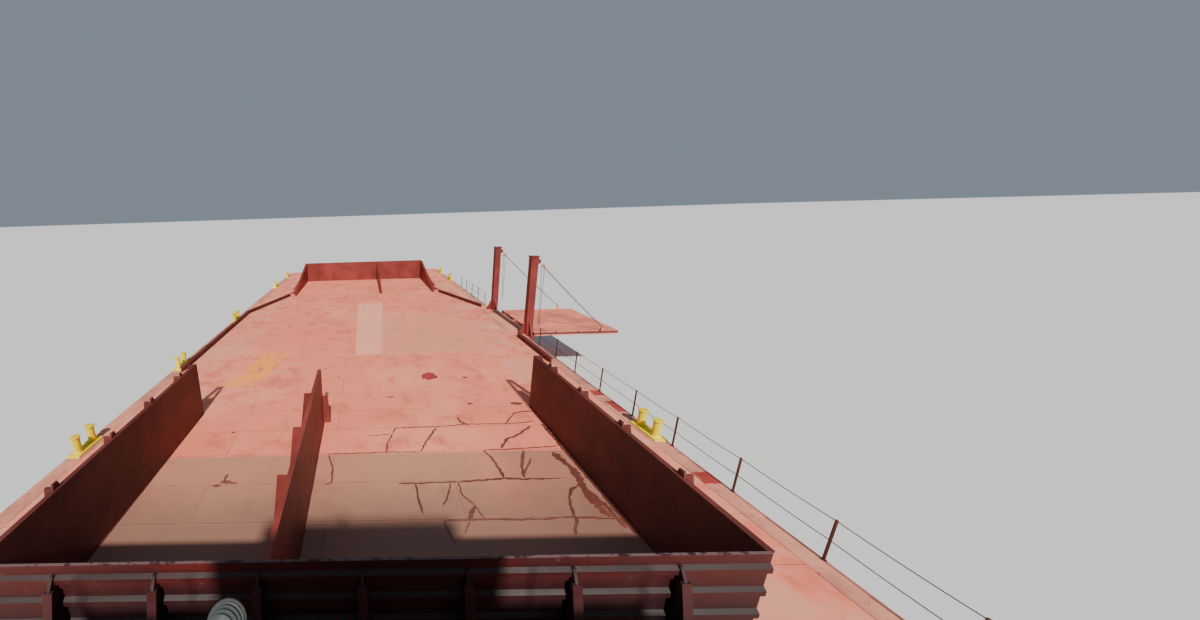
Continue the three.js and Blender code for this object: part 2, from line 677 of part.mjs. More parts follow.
// Walls and bulkheads of the cargo deck
addPart('cargo_wall_starboard', sideWallWithStrut(), redOxide, [wall.inner, 0, onDeck]);
addPart('cargo_wall_port', mirrored(sideWallWithStrut()), redOxide, [-wall.inner, 0, onDeck]);
addPart('cargo_divider', divider(), redOxide, [dividerX, 0, onDeck]);
addPart('aft_bulkhead', aftBulkhead(), redOxide, [0, 0, onDeck]);
addPart('bow_bulkhead', bowBulkheadSolid(), redOxide, [0, 0, onDeck]);
const wingX = bowBulkhead.halfWidth - bulwark.plate;
addPart('bow_wing_starboard', slopingFin(wingBrackets), redOxide, [wingX, 0, onDeck]);
addPart('bow_wing_port', mirrored(slopingFin(wingBrackets)), redOxide, [-wingX, 0, onDeck]);
addPart('bow_fin', slopingFin([]), redOxide, [bowFinX, 0, onDeck]);

// Coamings: the starboard one stops at the ramp's posts
const coamingKnee = [coaming.x, coaming.kneeY];
const coamingEnd = [bowBulkhead.halfWidth + 260, wingFootY];
const starboardAft = coamingRun([[coaming.x, coaming.aftY], [coaming.x, post.aftY - 300]]);
const starboardForward = coamingRun([coamingKnee, coamingEnd]);
const portWhole = coamingRun([[coaming.x, coaming.aftY], coamingKnee, coamingEnd]);
addPart('coaming_port', mirrored(portWhole), redOxide, [0, 0, onDeck]);
addPart('coaming_starboard_aft', starboardAft, redOxide, [0, 0, onDeck]);
addPart('coaming_starboard_forward', starboardForward, redOxide, [0, 0, onDeck]);

// Side ramp
addPart('ramp_sponson', sponsonSolid(), redOxide);
addPart('ramp_post_aft', rampPost(), redOxide, [post.centreX, post.aftY, onDeck]);
addPart('ramp_post_forward', rampPost(), redOxide, [post.centreX, post.forwardY, onDeck]);
addPart('side_ramp', sideRamp(), redOxide);
for (const each of chains) addPart(each.name, toppingChain(each), bareSteel);

// Bollards and rails
for (const edge of deckEdges) {
  const strip = edge.side > 0 ? deckEdge(edge) : mirrored(deckEdge(edge));
  addPart(edge.name, strip, mooringYellow, [0, 0, onDeck]);
}

// Foredeck hatches
for (const [side, sign] of [['port', -1], ['starboard', 1]]) {
  addPart(`hatch_coaming_${side}`, hatchCoaming(), redOxide, [sign * hatchX, hatch.y, onDeck]);
  addPart(`hatch_lid_${side}`, hatchLid(), redOxide,
    [sign * hatchX, hatch.y - hatch.length / 2 - hatch.overlap, onDeck + hatch.height + seam]);
}

// Winches
addPart('bow_winch_frame', winchFrame(1500, 900, 420), machineRed, [0, 14000, onDeck]);
addPart('bow_winch_drum', winchDrum(1500, 190, 320), bareSteel, [0, 14000, onDeck + 420]);
addPart('stern_winch_frame', winchFrame(1300, 900, 460), machineRed, [-150, -13800, onDeck]);
addPart('stern_winch_drum', winchDrum(1300, 210, 350), bareSteel, [-150, -13800, onDeck + 460]);

// Stores: two welded blocks of four walls, with a passage between them and a door into it from each
function storeBlock(doorY) {
  const { inner, outer, aft, fore } = storeTier;
  const h = tierHeight.store;
  const light = [620, 900];
  const endWindows = spans(inner, outer, 2, 300);
  return join([
    crossWall(inner, outer, fore - panel, onDeck, h, endWindows, light),
    crossWall(inner, outer, aft, onDeck, h, endWindows, light),
    sideWall(outer - panel, aft, fore, onDeck, h, spans(aft, fore, 3, 300), light),
    withDoorway(sideWall(inner, aft, fore, onDeck, h, [], light), inner, -1, doorY, onDeck),
  ]);
}
const storeDoorY = storeTier.fore - 1000;
const storeDoorX = storeTier.inner - hingeStandOff;
for (const [side, sign] of [['port', -1], ['starboard', 1]]) {
  const walls = storeBlock(storeDoorY);
  addPart(`store_walls_${side}`, sign > 0 ? walls : mirrored(walls), houseWhite);
  addPart(`store_door_${side}`, doorLeaf(false), houseBlue,
    [sign * storeDoorX, storeDoorY, onDeck + door.sill]);
}

addPart('bridge_deck', box(-storeTier.outer - slabOverhang, storeTier.outer + slabOverhang,
  storeTier.aft - slabOverhang, storeTier.fore + slabOverhang, bridgeDeck + seam, cabinFloor), houseWhite);

// Cabin and wheelhouse share one builder: four walls, doorways in the side walls
function tier(name, size, { floor, height, frontCount, light, finish, doorY }) {
  const { halfWidth, aft, fore } = size;
  const y0 = aft + panel + seam;
  const y1 = fore - panel - seam;
  const acrossShip = (y, windows) => crossWall(-halfWidth, halfWidth, y, floor, height, windows, light);
  const frontSpans = spans(-halfWidth + panel, halfWidth - panel, frontCount, windowWidth);
  const backSpans = spans(-halfWidth, halfWidth, 3, windowWidth);
  const sideSpans = spans(doorY + door.width + 120, y1, 3, windowWidth);
  addPart(`${name}_front_wall`, acrossShip(fore - panel, frontSpans), finish);
  addPart(`${name}_back_wall`, acrossShip(aft, backSpans), finish);
  for (const [side, sign] of [['port', -1], ['starboard', 1]]) {
    const x = sign > 0 ? halfWidth - panel : -halfWidth;
    const wallSolid = sideWall(x, y0, y1, floor, height, sideSpans, light);
    addPart(`${name}_${side}_wall`, withDoorway(wallSolid, sign * halfWidth, sign, doorY, floor), finish);
    addPart(`${name}_door_${side}`, doorLeaf(true), houseBlue,
      [sign * (halfWidth + hingeStandOff), doorY, floor + door.sill]);
  }
}

tier('cabin', cabinTier, {
  floor: cabinFloor + seam, height: tierHeight.cabin, frontCount: 6,
  light: [520, 880], finish: houseWhite, doorY: cabinTier.aft + 300,
});
addPart('cabin_deck', box(-cabinTier.halfWidth - slabOverhang, cabinTier.halfWidth + slabOverhang,
  cabinTier.aft - slabOverhang, cabinTier.fore + slabOverhang, cabinDeck + seam, wheelFloor), houseWhite);
tier('wheelhouse', wheelTier, {
  floor: wheelFloor + seam, height: tierHeight.wheelhouse, frontCount: 6,
  light: [560, 980], finish: houseBlue, doorY: wheelTier.aft + 200,
});
addPart('wheelhouse_roof', join([
  box(-wheelRoof.halfWidth, wheelRoof.halfWidth, wheelRoof.aft, wheelRoof.fore, 0, wheelRoof.thickness),
  moved(floodlightOnArm(), floodlight.x, wheelRoof.fore, wheelRoof.thickness - 1),
]), houseWhite, [0, 0, roofUnder + seam]);

// Rails around an upper deck, open at the ladder's head on the starboard quarter
function deckRails(halfWidth, { aft, fore }, z) {
  const x = halfWidth + slabOverhang - rail.inset;
  const y0 = aft - slabOverhang + rail.inset;
  const y1 = fore + slabOverhang - rail.inset;
  return join([
    railRun([-x, y0], [-x, y1], z),
    railRun([x, y0], [x, y1], z),
    railRun([-x, y1], [x, y1], z),
    railRun([-x, y0], [x - ladderGap, y0], z),
  ]);
}
const buoyY = storeTier.fore + slabOverhang - rail.inset + rail.radius + 20;
const buoys = [-2500, 2500].map((x) => moved(lifebuoy(), x, buoyY, cabinFloor + seam + rail.midHeight));
const bridgeRails = deckRails(storeTier.outer, storeTier, cabinFloor + seam);
addPart('bridge_deck_rails', join([bridgeRails, ...buoys]), railOrange);
addPart('cabin_deck_rails', deckRails(cabinTier.halfWidth, cabinTier, wheelFloor + seam), railOrange);

// Ladders up the after side, and the mast
addPart('deck_ladder', ladder(2300, deck, storeTier.aft - slabOverhang, cabinFloor), houseWhite);
addPart('cabin_ladder', ladder(1900, cabinFloor, cabinTier.aft - slabOverhang, wheelFloor), houseWhite);
const roofTop = roofUnder + 2 * seam + wheelRoof.thickness;
addPart('signal_mast', signalMast(), houseWhite, [0, mast.y, roofTop]);

export default barge;
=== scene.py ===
# The looks of a 1:2 model of a river deck-cargo barge. Metres; +Y to the bow, +X to starboard, +Z up.

import itertools
import math
import random
import re

import bmesh
import bpy
from mathutils import Matrix, Vector


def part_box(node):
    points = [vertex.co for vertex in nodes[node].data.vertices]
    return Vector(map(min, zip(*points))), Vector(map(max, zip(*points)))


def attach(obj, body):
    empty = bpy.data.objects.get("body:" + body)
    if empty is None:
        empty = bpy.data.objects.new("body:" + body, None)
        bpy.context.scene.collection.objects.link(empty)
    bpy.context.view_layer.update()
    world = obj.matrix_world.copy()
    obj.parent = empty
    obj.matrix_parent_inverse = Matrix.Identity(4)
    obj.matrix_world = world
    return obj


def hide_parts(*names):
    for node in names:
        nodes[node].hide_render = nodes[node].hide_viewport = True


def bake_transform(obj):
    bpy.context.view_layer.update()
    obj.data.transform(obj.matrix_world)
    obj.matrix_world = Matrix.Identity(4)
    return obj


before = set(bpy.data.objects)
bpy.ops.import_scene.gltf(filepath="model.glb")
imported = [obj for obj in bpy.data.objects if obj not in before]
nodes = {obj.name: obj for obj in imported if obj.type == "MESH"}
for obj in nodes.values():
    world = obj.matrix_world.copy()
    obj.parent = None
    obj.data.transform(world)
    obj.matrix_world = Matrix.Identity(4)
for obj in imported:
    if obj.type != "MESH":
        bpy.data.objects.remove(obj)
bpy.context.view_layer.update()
draw = random.Random(20)

WATERLINE = 0.40
DECK = 2.1003
ROOT = "barge"
STARBOARD = Vector((1, 0, 0))
FORWARD = Vector((0, 1, 0))
UP = Vector((0, 0, 1))


# Camera and light. The image's width, its lens centre and the focal length are in pixels of the photo

EYE = (0.0823, -12.5806, 6.5503)
PITCH, ROLL, YAW = (math.radians(a) for a in (14.574, 1.841, -0.973))
IMAGE_WIDTH = 1200
LENS_X = 360
FOCAL = 372.26
SENSOR = 36


def put(name, data):
    obj = bpy.data.objects.new(name, data)
    bpy.context.scene.collection.objects.link(obj)
    return obj


def make_camera():
    forward = Vector((math.sin(YAW) * math.cos(PITCH), math.cos(YAW) * math.cos(PITCH), -math.sin(PITCH)))
    level = Vector((math.cos(YAW), -math.sin(YAW), 0))
    down = forward.cross(level)
    right = math.cos(ROLL) * level + math.sin(ROLL) * down
    up = math.sin(ROLL) * level - math.cos(ROLL) * down
    data = bpy.data.cameras.new("camera")
    data.sensor_width = SENSOR
    data.lens = SENSOR * FOCAL / IMAGE_WIDTH
    data.shift_x = 0.5 - LENS_X / IMAGE_WIDTH
    data.clip_end = 3000
    camera = put("camera", data)
    camera.matrix_world = Matrix.Translation(EYE) @ Matrix((right, up, -forward)).transposed().to_4x4()
    bpy.context.scene.camera = camera


def make_light():
    world = bpy.data.worlds.new("studio")
    world.use_nodes = True
    background = world.node_tree.nodes["Background"]
    background.inputs["Color"].default_value = (0.72, 0.85, 1.0, 1)
    background.inputs["Strength"].default_value = 0.30
    bpy.context.scene.world = world
    sun = bpy.data.lights.new("key", "SUN")
    sun.energy = 6.0
    sun.angle = 0.045
    sun.color = (1.0, 0.94, 0.86)
    put("key", sun).rotation_euler = (math.radians(48.5), 0, math.radians(1.5))


# Shapes

SHARP_ANGLE = 0.6


def around(count):
    """The angles of a full turn in equal steps."""
    return [2 * math.pi * k / count for k in range(count)]


def place_along(a, b, side=UP):
    """A frame at a whose Z runs towards b and whose X is as near to side as it can be."""
    z = (Vector(b) - Vector(a)).normalized()
    x = side - side.dot(z) * z
    if x.length < 1e-6:
        x = STARBOARD - z.x * z
    x.normalize()
    y = z.cross(x)
    return Matrix.Translation(a) @ Matrix((x, y, z)).transposed().to_4x4()


def walk(points, pitch):
    """Points about a pitch apart along a line of (x, y) corners."""
    path = []
    for (xa, ya), (xb, yb) in zip(points, points[1:]):
        steps = max(1, round(math.hypot(xb - xa, yb - ya) / pitch))
        path += [(xa + (xb - xa) * i / steps, ya + (yb - ya) * i / steps) for i in range(steps)]
    return path + [points[-1]]


def jitter(points, amount):
    """The (x, y) points, each moved at random by at most the amount either way."""
    return [(x + draw.uniform(-amount, amount), y + draw.uniform(-amount, amount)) for x, y in points]


def beside(path):
    """For each point of a level path, the unit direction to its right."""
    last = len(path) - 1
    return [(path[min(i + 1, last)] - path[max(i - 1, 0)]).cross(UP).normalized() for i in range(last + 1)]


def hanging_point(a, b, t, sag):
    return a.lerp(b, t) - UP * (sag * 4 * t * (1 - t))


class Shape:
    """Many closed forms gathered in one mesh."""

    def __init__(self):
        self.bm = bmesh.new()

    def form(self, points, faces, place=None):
        corners = [self.bm.verts.new(place @ Vector(p) if place else p) for p in points]
        for face in faces:
            self.bm.faces.new([corners[i] for i in face])

    def box(self, lo, hi, chamfer=0.003, place=None):
        """A box whose edges are cut at 45 degrees."""
        lo, hi = Vector(lo), Vector(hi)
        c = min(chamfer, *((hi[k] - lo[k]) * 0.3 for k in range(3)))
        corners = list(itertools.product((0, 1), repeat=3))
        points = []
        at = {}
        for corner in corners:
            for full in range(3):
                at[corner, full] = len(points)
                points.append([(hi if s else lo)[k] + (0 if k == full else (-c if s else c))
                               for k, s in enumerate(corner)])
        faces = [[at[corner, k] for k in range(3)] for corner in corners]
        for axis in range(3):
            b, d = (axis + 1) % 3, (axis + 2) % 3
            for s in (0, 1):
                ring = []
                for u, v in ((0, 0), (1, 0), (1, 1), (0, 1)):
                    corner = [s, s, s]
                    corner[b], corner[d] = u, v
                    ring.append(at[tuple(corner), axis])
                faces.append(ring)
            for u, v in itertools.product((0, 1), repeat=2):
                near, far = [0, 0, 0], [1, 1, 1]
                near[b] = far[b] = u
                near[d] = far[d] = v
                near, far = tuple(near), tuple(far)
                faces.append([at[near, b], at[far, b], at[far, d], at[near, d]])
        self.form(points, faces, place)

    def bar(self, a, b, width, height):
        """A flat bar from a to b, its height as near to upright as it can be."""
        w, h, length = width / 2, height / 2, (Vector(b) - Vector(a)).length
        self.box((-h, -w, 0), (h, w, length), place=place_along(a, b))

    def tube(self, points, radius, sides, loop=False):
        """A round rod along points; radius is one number or one for each point."""
        points = [Vector(p) for p in points]
        radii = radius if isinstance(radius, (list, tuple)) else [radius] * len(points)
        count = len(points)
        normal = None
        rings = []
        for i, point in enumerate(points):
            before = points[i - 1] if i or loop else point
            after = points[(i + 1) % count] if i < count - 1 or loop else point
            along = (after - before).normalized()
            if normal is None:
                normal = along.orthogonal()
            normal = (normal - normal.dot(along) * along).normalized()
            across = along.cross(normal)
            rings.append([self.bm.verts.new(point + radii[i] * (math.cos(a) * normal + math.sin(a) * across))
                          for a in around(sides)])
        self.join(rings, loop)
        if not loop:
            self.bm.faces.new(rings[0])
            self.bm.faces.new(rings[-1])

    def hoop(self, centre, u, v, radius, wire, count=36, sides=6):
        """A ring of round wire about centre, in the plane of the directions u and v."""
        ring = [centre + radius * (math.cos(a) * u + math.sin(a) * v) for a in around(count)]
        self.tube(ring, wire, sides, loop=True)

    def lathe(self, profile, place, sides):
        """A round form from (radius, height) points, which start and end on the axis or close in a ring."""
        rings = []
        for radius, height in profile:
            angles = around(sides) if radius else [0]
            points = [(radius * math.cos(a), radius * math.sin(a), height) for a in angles]
            rings.append([self.bm.verts.new(place @ Vector(p)) for p in points])
        self.join(rings, profile[0][0] > 0)

    def boss(self, place, radius, edge, crown, top, foot=0.0, sides=6):
        """A bolt head or foot plate: upright from foot to edge, then chamfered to the radius crown at top."""
        self.lathe([(0, foot), (radius, foot), (radius, edge), (crown, top), (0, top)], place, sides)

    def join(self, rings, loop):
        """Faces between each ring of corners and the next; a ring of one corner is a tip."""
        pairs = list(zip(rings, rings[1:]))
        if loop:
            pairs.append((rings[-1], rings[0]))
        for near, far in pairs:
            sides = max(len(near), len(far))
            for k in range(sides):
                j = (k + 1) % sides
                corners = [near[k % len(near)], near[j % len(near)], far[j % len(far)], far[k % len(far)]]
                corners = list(dict.fromkeys(corners))
                if len(corners) > 2:
                    self.bm.faces.new(corners)

    def slab(self, outline, low, high):
        """An outline of (x, y) points given thickness from low to high."""
        count = len(outline)
        points = [(x, y, low) for x, y in outline] + [(x, y, high) for x, y in outline]
        faces = [list(range(count)), list(range(count, 2 * count))]
        faces += [[i, (i + 1) % count, count + (i + 1) % count, count + i] for i in range(count)]
        self.form(points, faces)

    def strip(self, rows):
        """A closed form through rows of four points."""
        rings = [[self.bm.verts.new(p) for p in row] for row in rows]
        self.join(rings, False)
        self.bm.faces.new(rings[0])
        self.bm.faces.new(rings[-1])

    def bead(self, points, width, height):
        """A low weld bead along points: a strip with a raised middle and a flat underside."""
        path = [Vector(p) for p in points]
        rows = []
        for point, right in zip(path, beside(path)):
            side = right * (width / 2)
            top = point + UP * height
            rows.append((point - side, point + side, top + side * 0.5, top - side * 0.5))
        self.strip(rows)

    def film(self, points, width, top):
        """A thin film that lies on the deck along points, with ragged sides and narrow ends."""
        path = [Vector((x, y, DECK)) for x, y in jitter(walk(points, 0.05), 0.008)]
        last = len(path) - 1
        rows = []
        for i, (point, side) in enumerate(zip(path, beside(path))):
            taper = min(1, (i + 0.6) / 2, (last - i + 0.6) / 2) * width / 2
            left, right = (side * (taper * draw.uniform(0.55, 1.45)) for _ in range(2))
            under, over = point - UP * 0.001, point + UP * top
            rows.append((under - left, under + right, over + right * 0.93, over - left * 0.93))
        self.strip(rows)

    def blot(self, x, y, rx, ry, top):
        """A thin ragged disc on the deck."""
        outline = []
        for a in around(20):
            reach = draw.uniform(0.72, 1.12)
            outline.append((x + rx * reach * math.cos(a), y + ry * reach * math.sin(a)))
        self.slab(outline, DECK - 0.001, DECK + top)

    def piece(self, name, material, slot, body=ROOT, replaces=()):
        bmesh.ops.recalc_face_normals(self.bm, faces=self.bm.faces)
        mesh = bpy.data.meshes.new(name)
        self.bm.to_mesh(mesh)
        self.bm.free()
        for face in mesh.polygons:
            face.use_smooth = True
        mesh.set_sharp_from_angle(angle=SHARP_ANGLE)
        mesh.materials.append(material)
        obj = put(name, mesh)
        if replaces:
            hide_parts(*replaces)
        if body:
            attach(obj, body)
        return obj


def clusters(node, low, high, reach):
    """Middles (x, y) of the groups, at most reach wide, of a node's corners between two heights."""
    groups = []
    for y, x in sorted((v.co.y, v.co.x) for v in nodes[node].data.vertices if low < v.co.z < high):
        for group in groups:
            if abs(y - group[0][0]) < reach and abs(x - group[0][1]) < reach:
                group.append((y, x))
                break
        else:
            groups.append([(y, x)])
    middles = [[(min(c) + max(c)) / 2 for c in zip(*group)] for group in groups]
    return [(x, y) for y, x in sorted(middles)]


# Materials

class Paint:
    """A principled material with short calls for the nodes that feed it."""

    def __init__(self, name, roughness=0.6, metallic=0.0):
        self.material = bpy.data.materials.new(name)
        self.material.use_nodes = True
        self.tree = self.material.node_tree
        self.shader = self.tree.nodes["Principled BSDF"]
        self.shader.inputs["Roughness"].default_value = roughness
        self.shader.inputs["Metallic"].default_value = metallic
        self.place = self.add("ShaderNodeTexCoord").outputs["Object"]
        axes = self.add("ShaderNodeSeparateXYZ", Vector=self.place)
        self.x, self.y, self.z = axes.outputs

    def add(self, kind, settings=None, **inputs):
        node = self.tree.nodes.new(kind)
        for key, value in (settings or {}).items():
            setattr(node, key, value)
        for key, value in inputs.items():
            self.feed(node.inputs[key.replace("_", " ")], value)
        return node

    def feed(self, socket, value):
        if isinstance(value, bpy.types.NodeSocket):
            self.tree.links.new(value, socket)
        elif isinstance(value, tuple) and len(value) == 3 and socket.type == "RGBA":
            socket.default_value = (*value, 1)
        else:
            socket.default_value = value

    def math(self, operation, a, b=0.0):
        node = self.add("ShaderNodeMath", {"operation": operation})
        self.feed(node.inputs[0], a)
        self.feed(node.inputs[1], b)
        return node.outputs[0]

    def both(self, *values):
        result = values[0]
        for value in values[1:]:
            result = self.math("MULTIPLY", result, value)
        return result

    def plus(self, base, *parts):
        """base and each (value, factor) part added up."""
        for value, factor in parts:
            base = self.math("ADD", self.both(value, factor), base)
        return base

    def mix(self, share, a, b):
        node = self.add("ShaderNodeMix", {"data_type": "RGBA"})
        self.feed(node.inputs["Factor"], share)
        self.feed(node.inputs[6], a)
        self.feed(node.inputs[7], b)
        return node.outputs[2]

    def over(self, base, color, *shares):
        """color laid over base by the product of the shares."""
        return self.mix(self.both(*shares), base, color)

    def stretch(self, x, y, z, turn=0.0):
        node = self.add("ShaderNodeMapping", Vector=self.place, Scale=(x, y, z), Rotation=(0, 0, turn))
        return node.outputs[0]

    def noise(self, scale, detail, roughness=0.55, vector=None):
        node = self.add("ShaderNodeTexNoise", Vector=vector or self.place, Scale=scale, Detail=detail,
                        Roughness=roughness)
        return node.outputs[0]

    def step(self, value, low, high):
        """0 below low, 1 above high, smooth between; it falls instead where low is above high."""
        turned = low > high
        node = self.add("ShaderNodeMapRange", {"interpolation_type": "SMOOTHSTEP"}, Value=value,
                        From_Min=min(low, high), From_Max=max(low, high),
                        To_Min=float(turned), To_Max=float(not turned))
        return node.outputs[0]

    def between(self, value, a, b, c, d):
        """1 from b to c, fading to 0 at a and d."""
        return self.both(self.step(value, a, b), self.step(value, d, c))

    def facing_up(self):
        """1 where the surface looks straight up, 0 where it is upright."""
        normal = self.add("ShaderNodeNewGeometry").outputs["Normal"]
        return self.add("ShaderNodeSeparateXYZ", Vector=normal).outputs[2]

    def finish(self, color, roughness=None, bump=None, depth=0.0):
        self.feed(self.shader.inputs["Base Color"], color)
        if roughness is not None:
            self.feed(self.shader.inputs["Roughness"], roughness)
        if bump is not None:
            node = self.add("ShaderNodeBump", Height=bump, Distance=depth, Strength=1.0)
            self.feed(self.shader.inputs["Normal"], node.outputs[0])
        return self.material


def worn_paint(name, color, worn, wear, rough=0.5, stain=0.35, grain=9.0):
    """Brushed-on paint: broad fading, rust speckle and streaks that run down."""
    p = Paint(name)
    fade = p.noise(0.9, 5, 0.6)
    blotch = p.noise(grain, 6, 0.65)
    streak = p.noise(6.0, 4, 0.6, p.stretch(1, 1, 0.12))
    light = tuple(min(1, c * 1.25 + 0.01) for c in color)
    dark = tuple(c * 0.70 for c in color)
    tone = p.mix(p.step(fade, 0.30, 0.72), dark, light)
    tone = p.over(tone, worn, p.step(streak, 0.55, 0.78), stain)
    tone = p.over(tone, worn, p.step(blotch, wear, wear + 0.06), 0.8)
    height = p.plus(p.both(fade, 0.8), (blotch, 0.3))
    return p.finish(tone, p.plus(rough - 0.12, (blotch, 0.35)), height, 0.006)


def steel(name, color, rust):
    p = Paint(name, metallic=0.75)
    patch = p.step(p.noise(22, 6, 0.7), 0.50, 0.68)
    fine = p.noise(198, 3, 0.6)
    tone = p.over(p.mix(patch, color, rust), tuple(c * 0.5 for c in rust), fine, 0.5)
    return p.finish(tone, p.plus(0.38, (patch, 0.35)), fine, 0.001)


def deck_color(p, broad, cloudy, speck, fine):
    """Chalky primer in plates, with the weathered areas and a painted shade by the aft bulkhead laid over each
    other; and where its seams are.
    """
    plates = p.add("ShaderNodeTexBrick", {"offset": 0.5, "squash": 1.0},
                   Vector=p.add("ShaderNodeMapping", Vector=p.place, Location=(0.6, -0.155, 0)).outputs[0],
                   Color1=(0.82, 0.215, 0.130), Color2=(0.86, 0.240, 0.150), Mortar=(0.70, 0.165, 0.095),
                   Scale=1.0, Mortar_Size=0.010, Mortar_Smooth=0.7, Brick_Width=4.2, Row_Height=0.815)
    deck, seam = plates.outputs["Color"], plates.outputs["Fac"]
    wander = p.math("MULTIPLY", p.math("SUBTRACT", cloudy, 0.5), 0.9)
    x_soft = p.math("ADD", p.x, wander)
    y_soft = p.math("ADD", p.y, wander)
    deck = p.over(deck, (0.90, 0.340, 0.220), p.step(broad, 0.50, 0.66), 0.5)
    deck = p.over(deck, (0.62, 0.130, 0.080), p.step(cloudy, 0.50, 0.34), 0.55)

    # The two after bays: beige, browner to starboard, and darkened towards the bulkhead by painted shade
    near = p.both(p.between(p.x, -3.83, -3.79, 3.79, 3.83), p.between(p.y, -9.76, -9.73, -6.42, -6.38))
    deck = p.over(deck, (0.43, 0.210, 0.135), near, p.step(x_soft, 3.1, 1.6), 0.85)
    deck = p.over(deck, (0.32, 0.155, 0.108), near, p.step(x_soft, 1.6, 3.1), 0.85)
    # Painted shade: the deck darkens towards the aft bulkhead
    deck = p.over(deck, (0.20, 0.105, 0.080), near, p.step(y_soft, -6.7, -8.2), 0.75)

    # A pale strip along the middle, with a dusty area to starboard of it
    strip_edge = p.plus(p.x, (p.y, -0.05))
    strip = p.both(p.step(p.x, -0.34, -0.28), p.step(strip_edge, 0.66, 0.60), p.step(p.y, -1.29, -1.25),
                   p.step(y_soft, 6.4, 5.6))
    deck = p.over(deck, (0.90, 0.400, 0.270), strip, 0.75)
    dusty = p.both(p.step(strip_edge, 0.60, 0.66), p.step(x_soft, 4.5, 3.7), p.step(p.y, -1.33, -1.28),
                   p.step(y_soft, 4.4, 2.6))
    deck = p.over(deck, (0.74, 0.320, 0.190), dusty, 0.55)
    deck = p.over(deck, (0.44, 0.235, 0.150), dusty, p.step(cloudy, 0.50, 0.66), 0.45)

    # An ochre spill to port, with a faint one aft of it
    from_line = p.math("ABSOLUTE", p.math("ADD", p.plus(p.x, (y_soft, -0.2)), 2.75))
    ochre = p.both(p.step(from_line, 0.50, 0.34), p.between(y_soft, -3.55, -3.2, -1.0, -0.6),
                   p.step(p.noise(3.4, 5, 0.6, p.stretch(1.6, 0.7, 1, 0.2)), 0.36, 0.50))
    deck = p.over(deck, (0.95, 0.340, 0.055), ochre, 0.9)
    faint = p.both(p.between(p.x, -2.25, -2.05, -1.85, -1.7), p.between(p.y, -6.3, -6.1, -5.5, -5.3))
    deck = p.over(deck, (0.66, 0.300, 0.070), faint, p.step(cloudy, 0.40, 0.55), 0.4)

    # Speckle, worn seams and the paler side decks
    deck = p.over(deck, (0.40, 0.110, 0.070), p.step(speck, 0.60, 0.68), 0.5)
    deck = p.over(deck, (0.80, 0.420, 0.320), p.step(fine, 0.60, 0.75), 0.25)
    deck = p.over(deck, (0.36, 0.120, 0.080), p.step(p.noise(5, 4, 0.6), 0.50, 0.60), seam, 0.6)
    side_deck = p.step(p.math("ABSOLUTE", p.x), 4.0, 4.2)
    return p.over(deck, (0.66, 0.330, 0.240), side_deck, p.step(cloudy, 0.40, 0.62), 0.6), seam


def side_color(p, broad, cloudy, speck):
    """Red oxide with rust streaks, a dark band below and weed at the waterline."""
    streak = p.noise(3, 5, 0.65, p.stretch(1, 1, 0.1))
    side = p.mix(p.step(broad, 0.35, 0.65), (0.20, 0.045, 0.032), (0.30, 0.075, 0.052))
    side = p.over(side, (0.13, 0.05, 0.025), p.step(streak, 0.52, 0.72), 0.55)
    side = p.over(side, (0.24, 0.10, 0.045), p.step(speck, 0.60, 0.68), 0.5)
    side = p.over(side, (0.035, 0.032, 0.034), p.step(p.plus(p.z, (cloudy, 0.05)), 0.78, 0.77))
    return p.over(side, (0.09, 0.085, 0.045), p.step(p.plus(p.z, (streak, 0.25)), 0.62, 0.50), 0.6)


def make_hull_paint():
    p = Paint("hull_paint")
    on_top = p.both(p.step(p.facing_up(), 0.6, 0.8), p.step(p.z, 2.05, 2.09))
    broad, cloudy = p.noise(0.42, 5, 0.6), p.noise(1.7, 6, 0.62)
    speck, fine = p.noise(16, 5, 0.7), p.noise(70, 3, 0.6)
    deck, seam = deck_color(p, broad, cloudy, speck, fine)
    color = p.mix(on_top, side_color(p, broad, cloudy, speck), deck)
    height = p.plus(p.both(p.noise(1.1, 3), 1.6), (p.both(seam, on_top), 0.6), (fine, 0.10))
    return p.finish(color, p.plus(0.55, (cloudy, 0.3)), height, 0.008)


def make_bulkhead_paint():
    """Red oxide with painted shade that darkens it towards the deck and on the faces that look up, with a worn
    lip and paler buttress flanges.
    """
    lo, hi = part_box("aft_bulkhead")
    p = Paint("aft_bulkhead_red")
    fade = p.noise(1.1, 5, 0.6)
    blotch = p.noise(9.0, 6, 0.65)
    streak = p.noise(6.0, 4, 0.6, p.stretch(1, 1, 0.12))
    upper = p.step(p.z, hi.z - 0.35, hi.z - 0.05)
    lip = p.step(p.z, hi.z - 0.006, hi.z - 0.003)
    # Painted shade: the paint darkens towards the deck
    tone = p.mix(p.step(p.z, lo.z + 0.45, hi.z - 0.05), (0.012, 0.005, 0.008), (0.050, 0.007, 0.008))
    tone = p.over(tone, (0.095, 0.009, 0.009), p.step(fade, 0.50, 0.66), upper)
    tone = p.over(tone, (0.022, 0.010, 0.011), p.step(streak, 0.55, 0.75), 0.5)
    # Painted shade on the faces that look up, which the key light reaches most
    tone = p.over(tone, (0.016, 0.008, 0.009), p.step(p.facing_up(), 0.25, 0.5), 0.8)
    tone = p.over(tone, (0.050, 0.024, 0.030), p.step(p.y, lo.y + 0.02, lo.y + 0.015), 0.7)
    tone = p.over(tone, (0.13, 0.075, 0.080), lip, p.step(blotch, 0.40, 0.50))
    tone = p.over(tone, (0.10, 0.055, 0.050), p.step(blotch, 0.64, 0.70), 0.6)
    return p.finish(tone, p.plus(0.40, (blotch, 0.35)), fade, 0.005)


def glass(name, tint):
    p = Paint(name)
    dust = p.step(p.noise(7.0, 5, 0.6), 0.45, 0.75)
    return p.finish(p.over(tint, (0.30, 0.29, 0.27), dust, 0.25), p.plus(0.05, (dust, 0.22)))


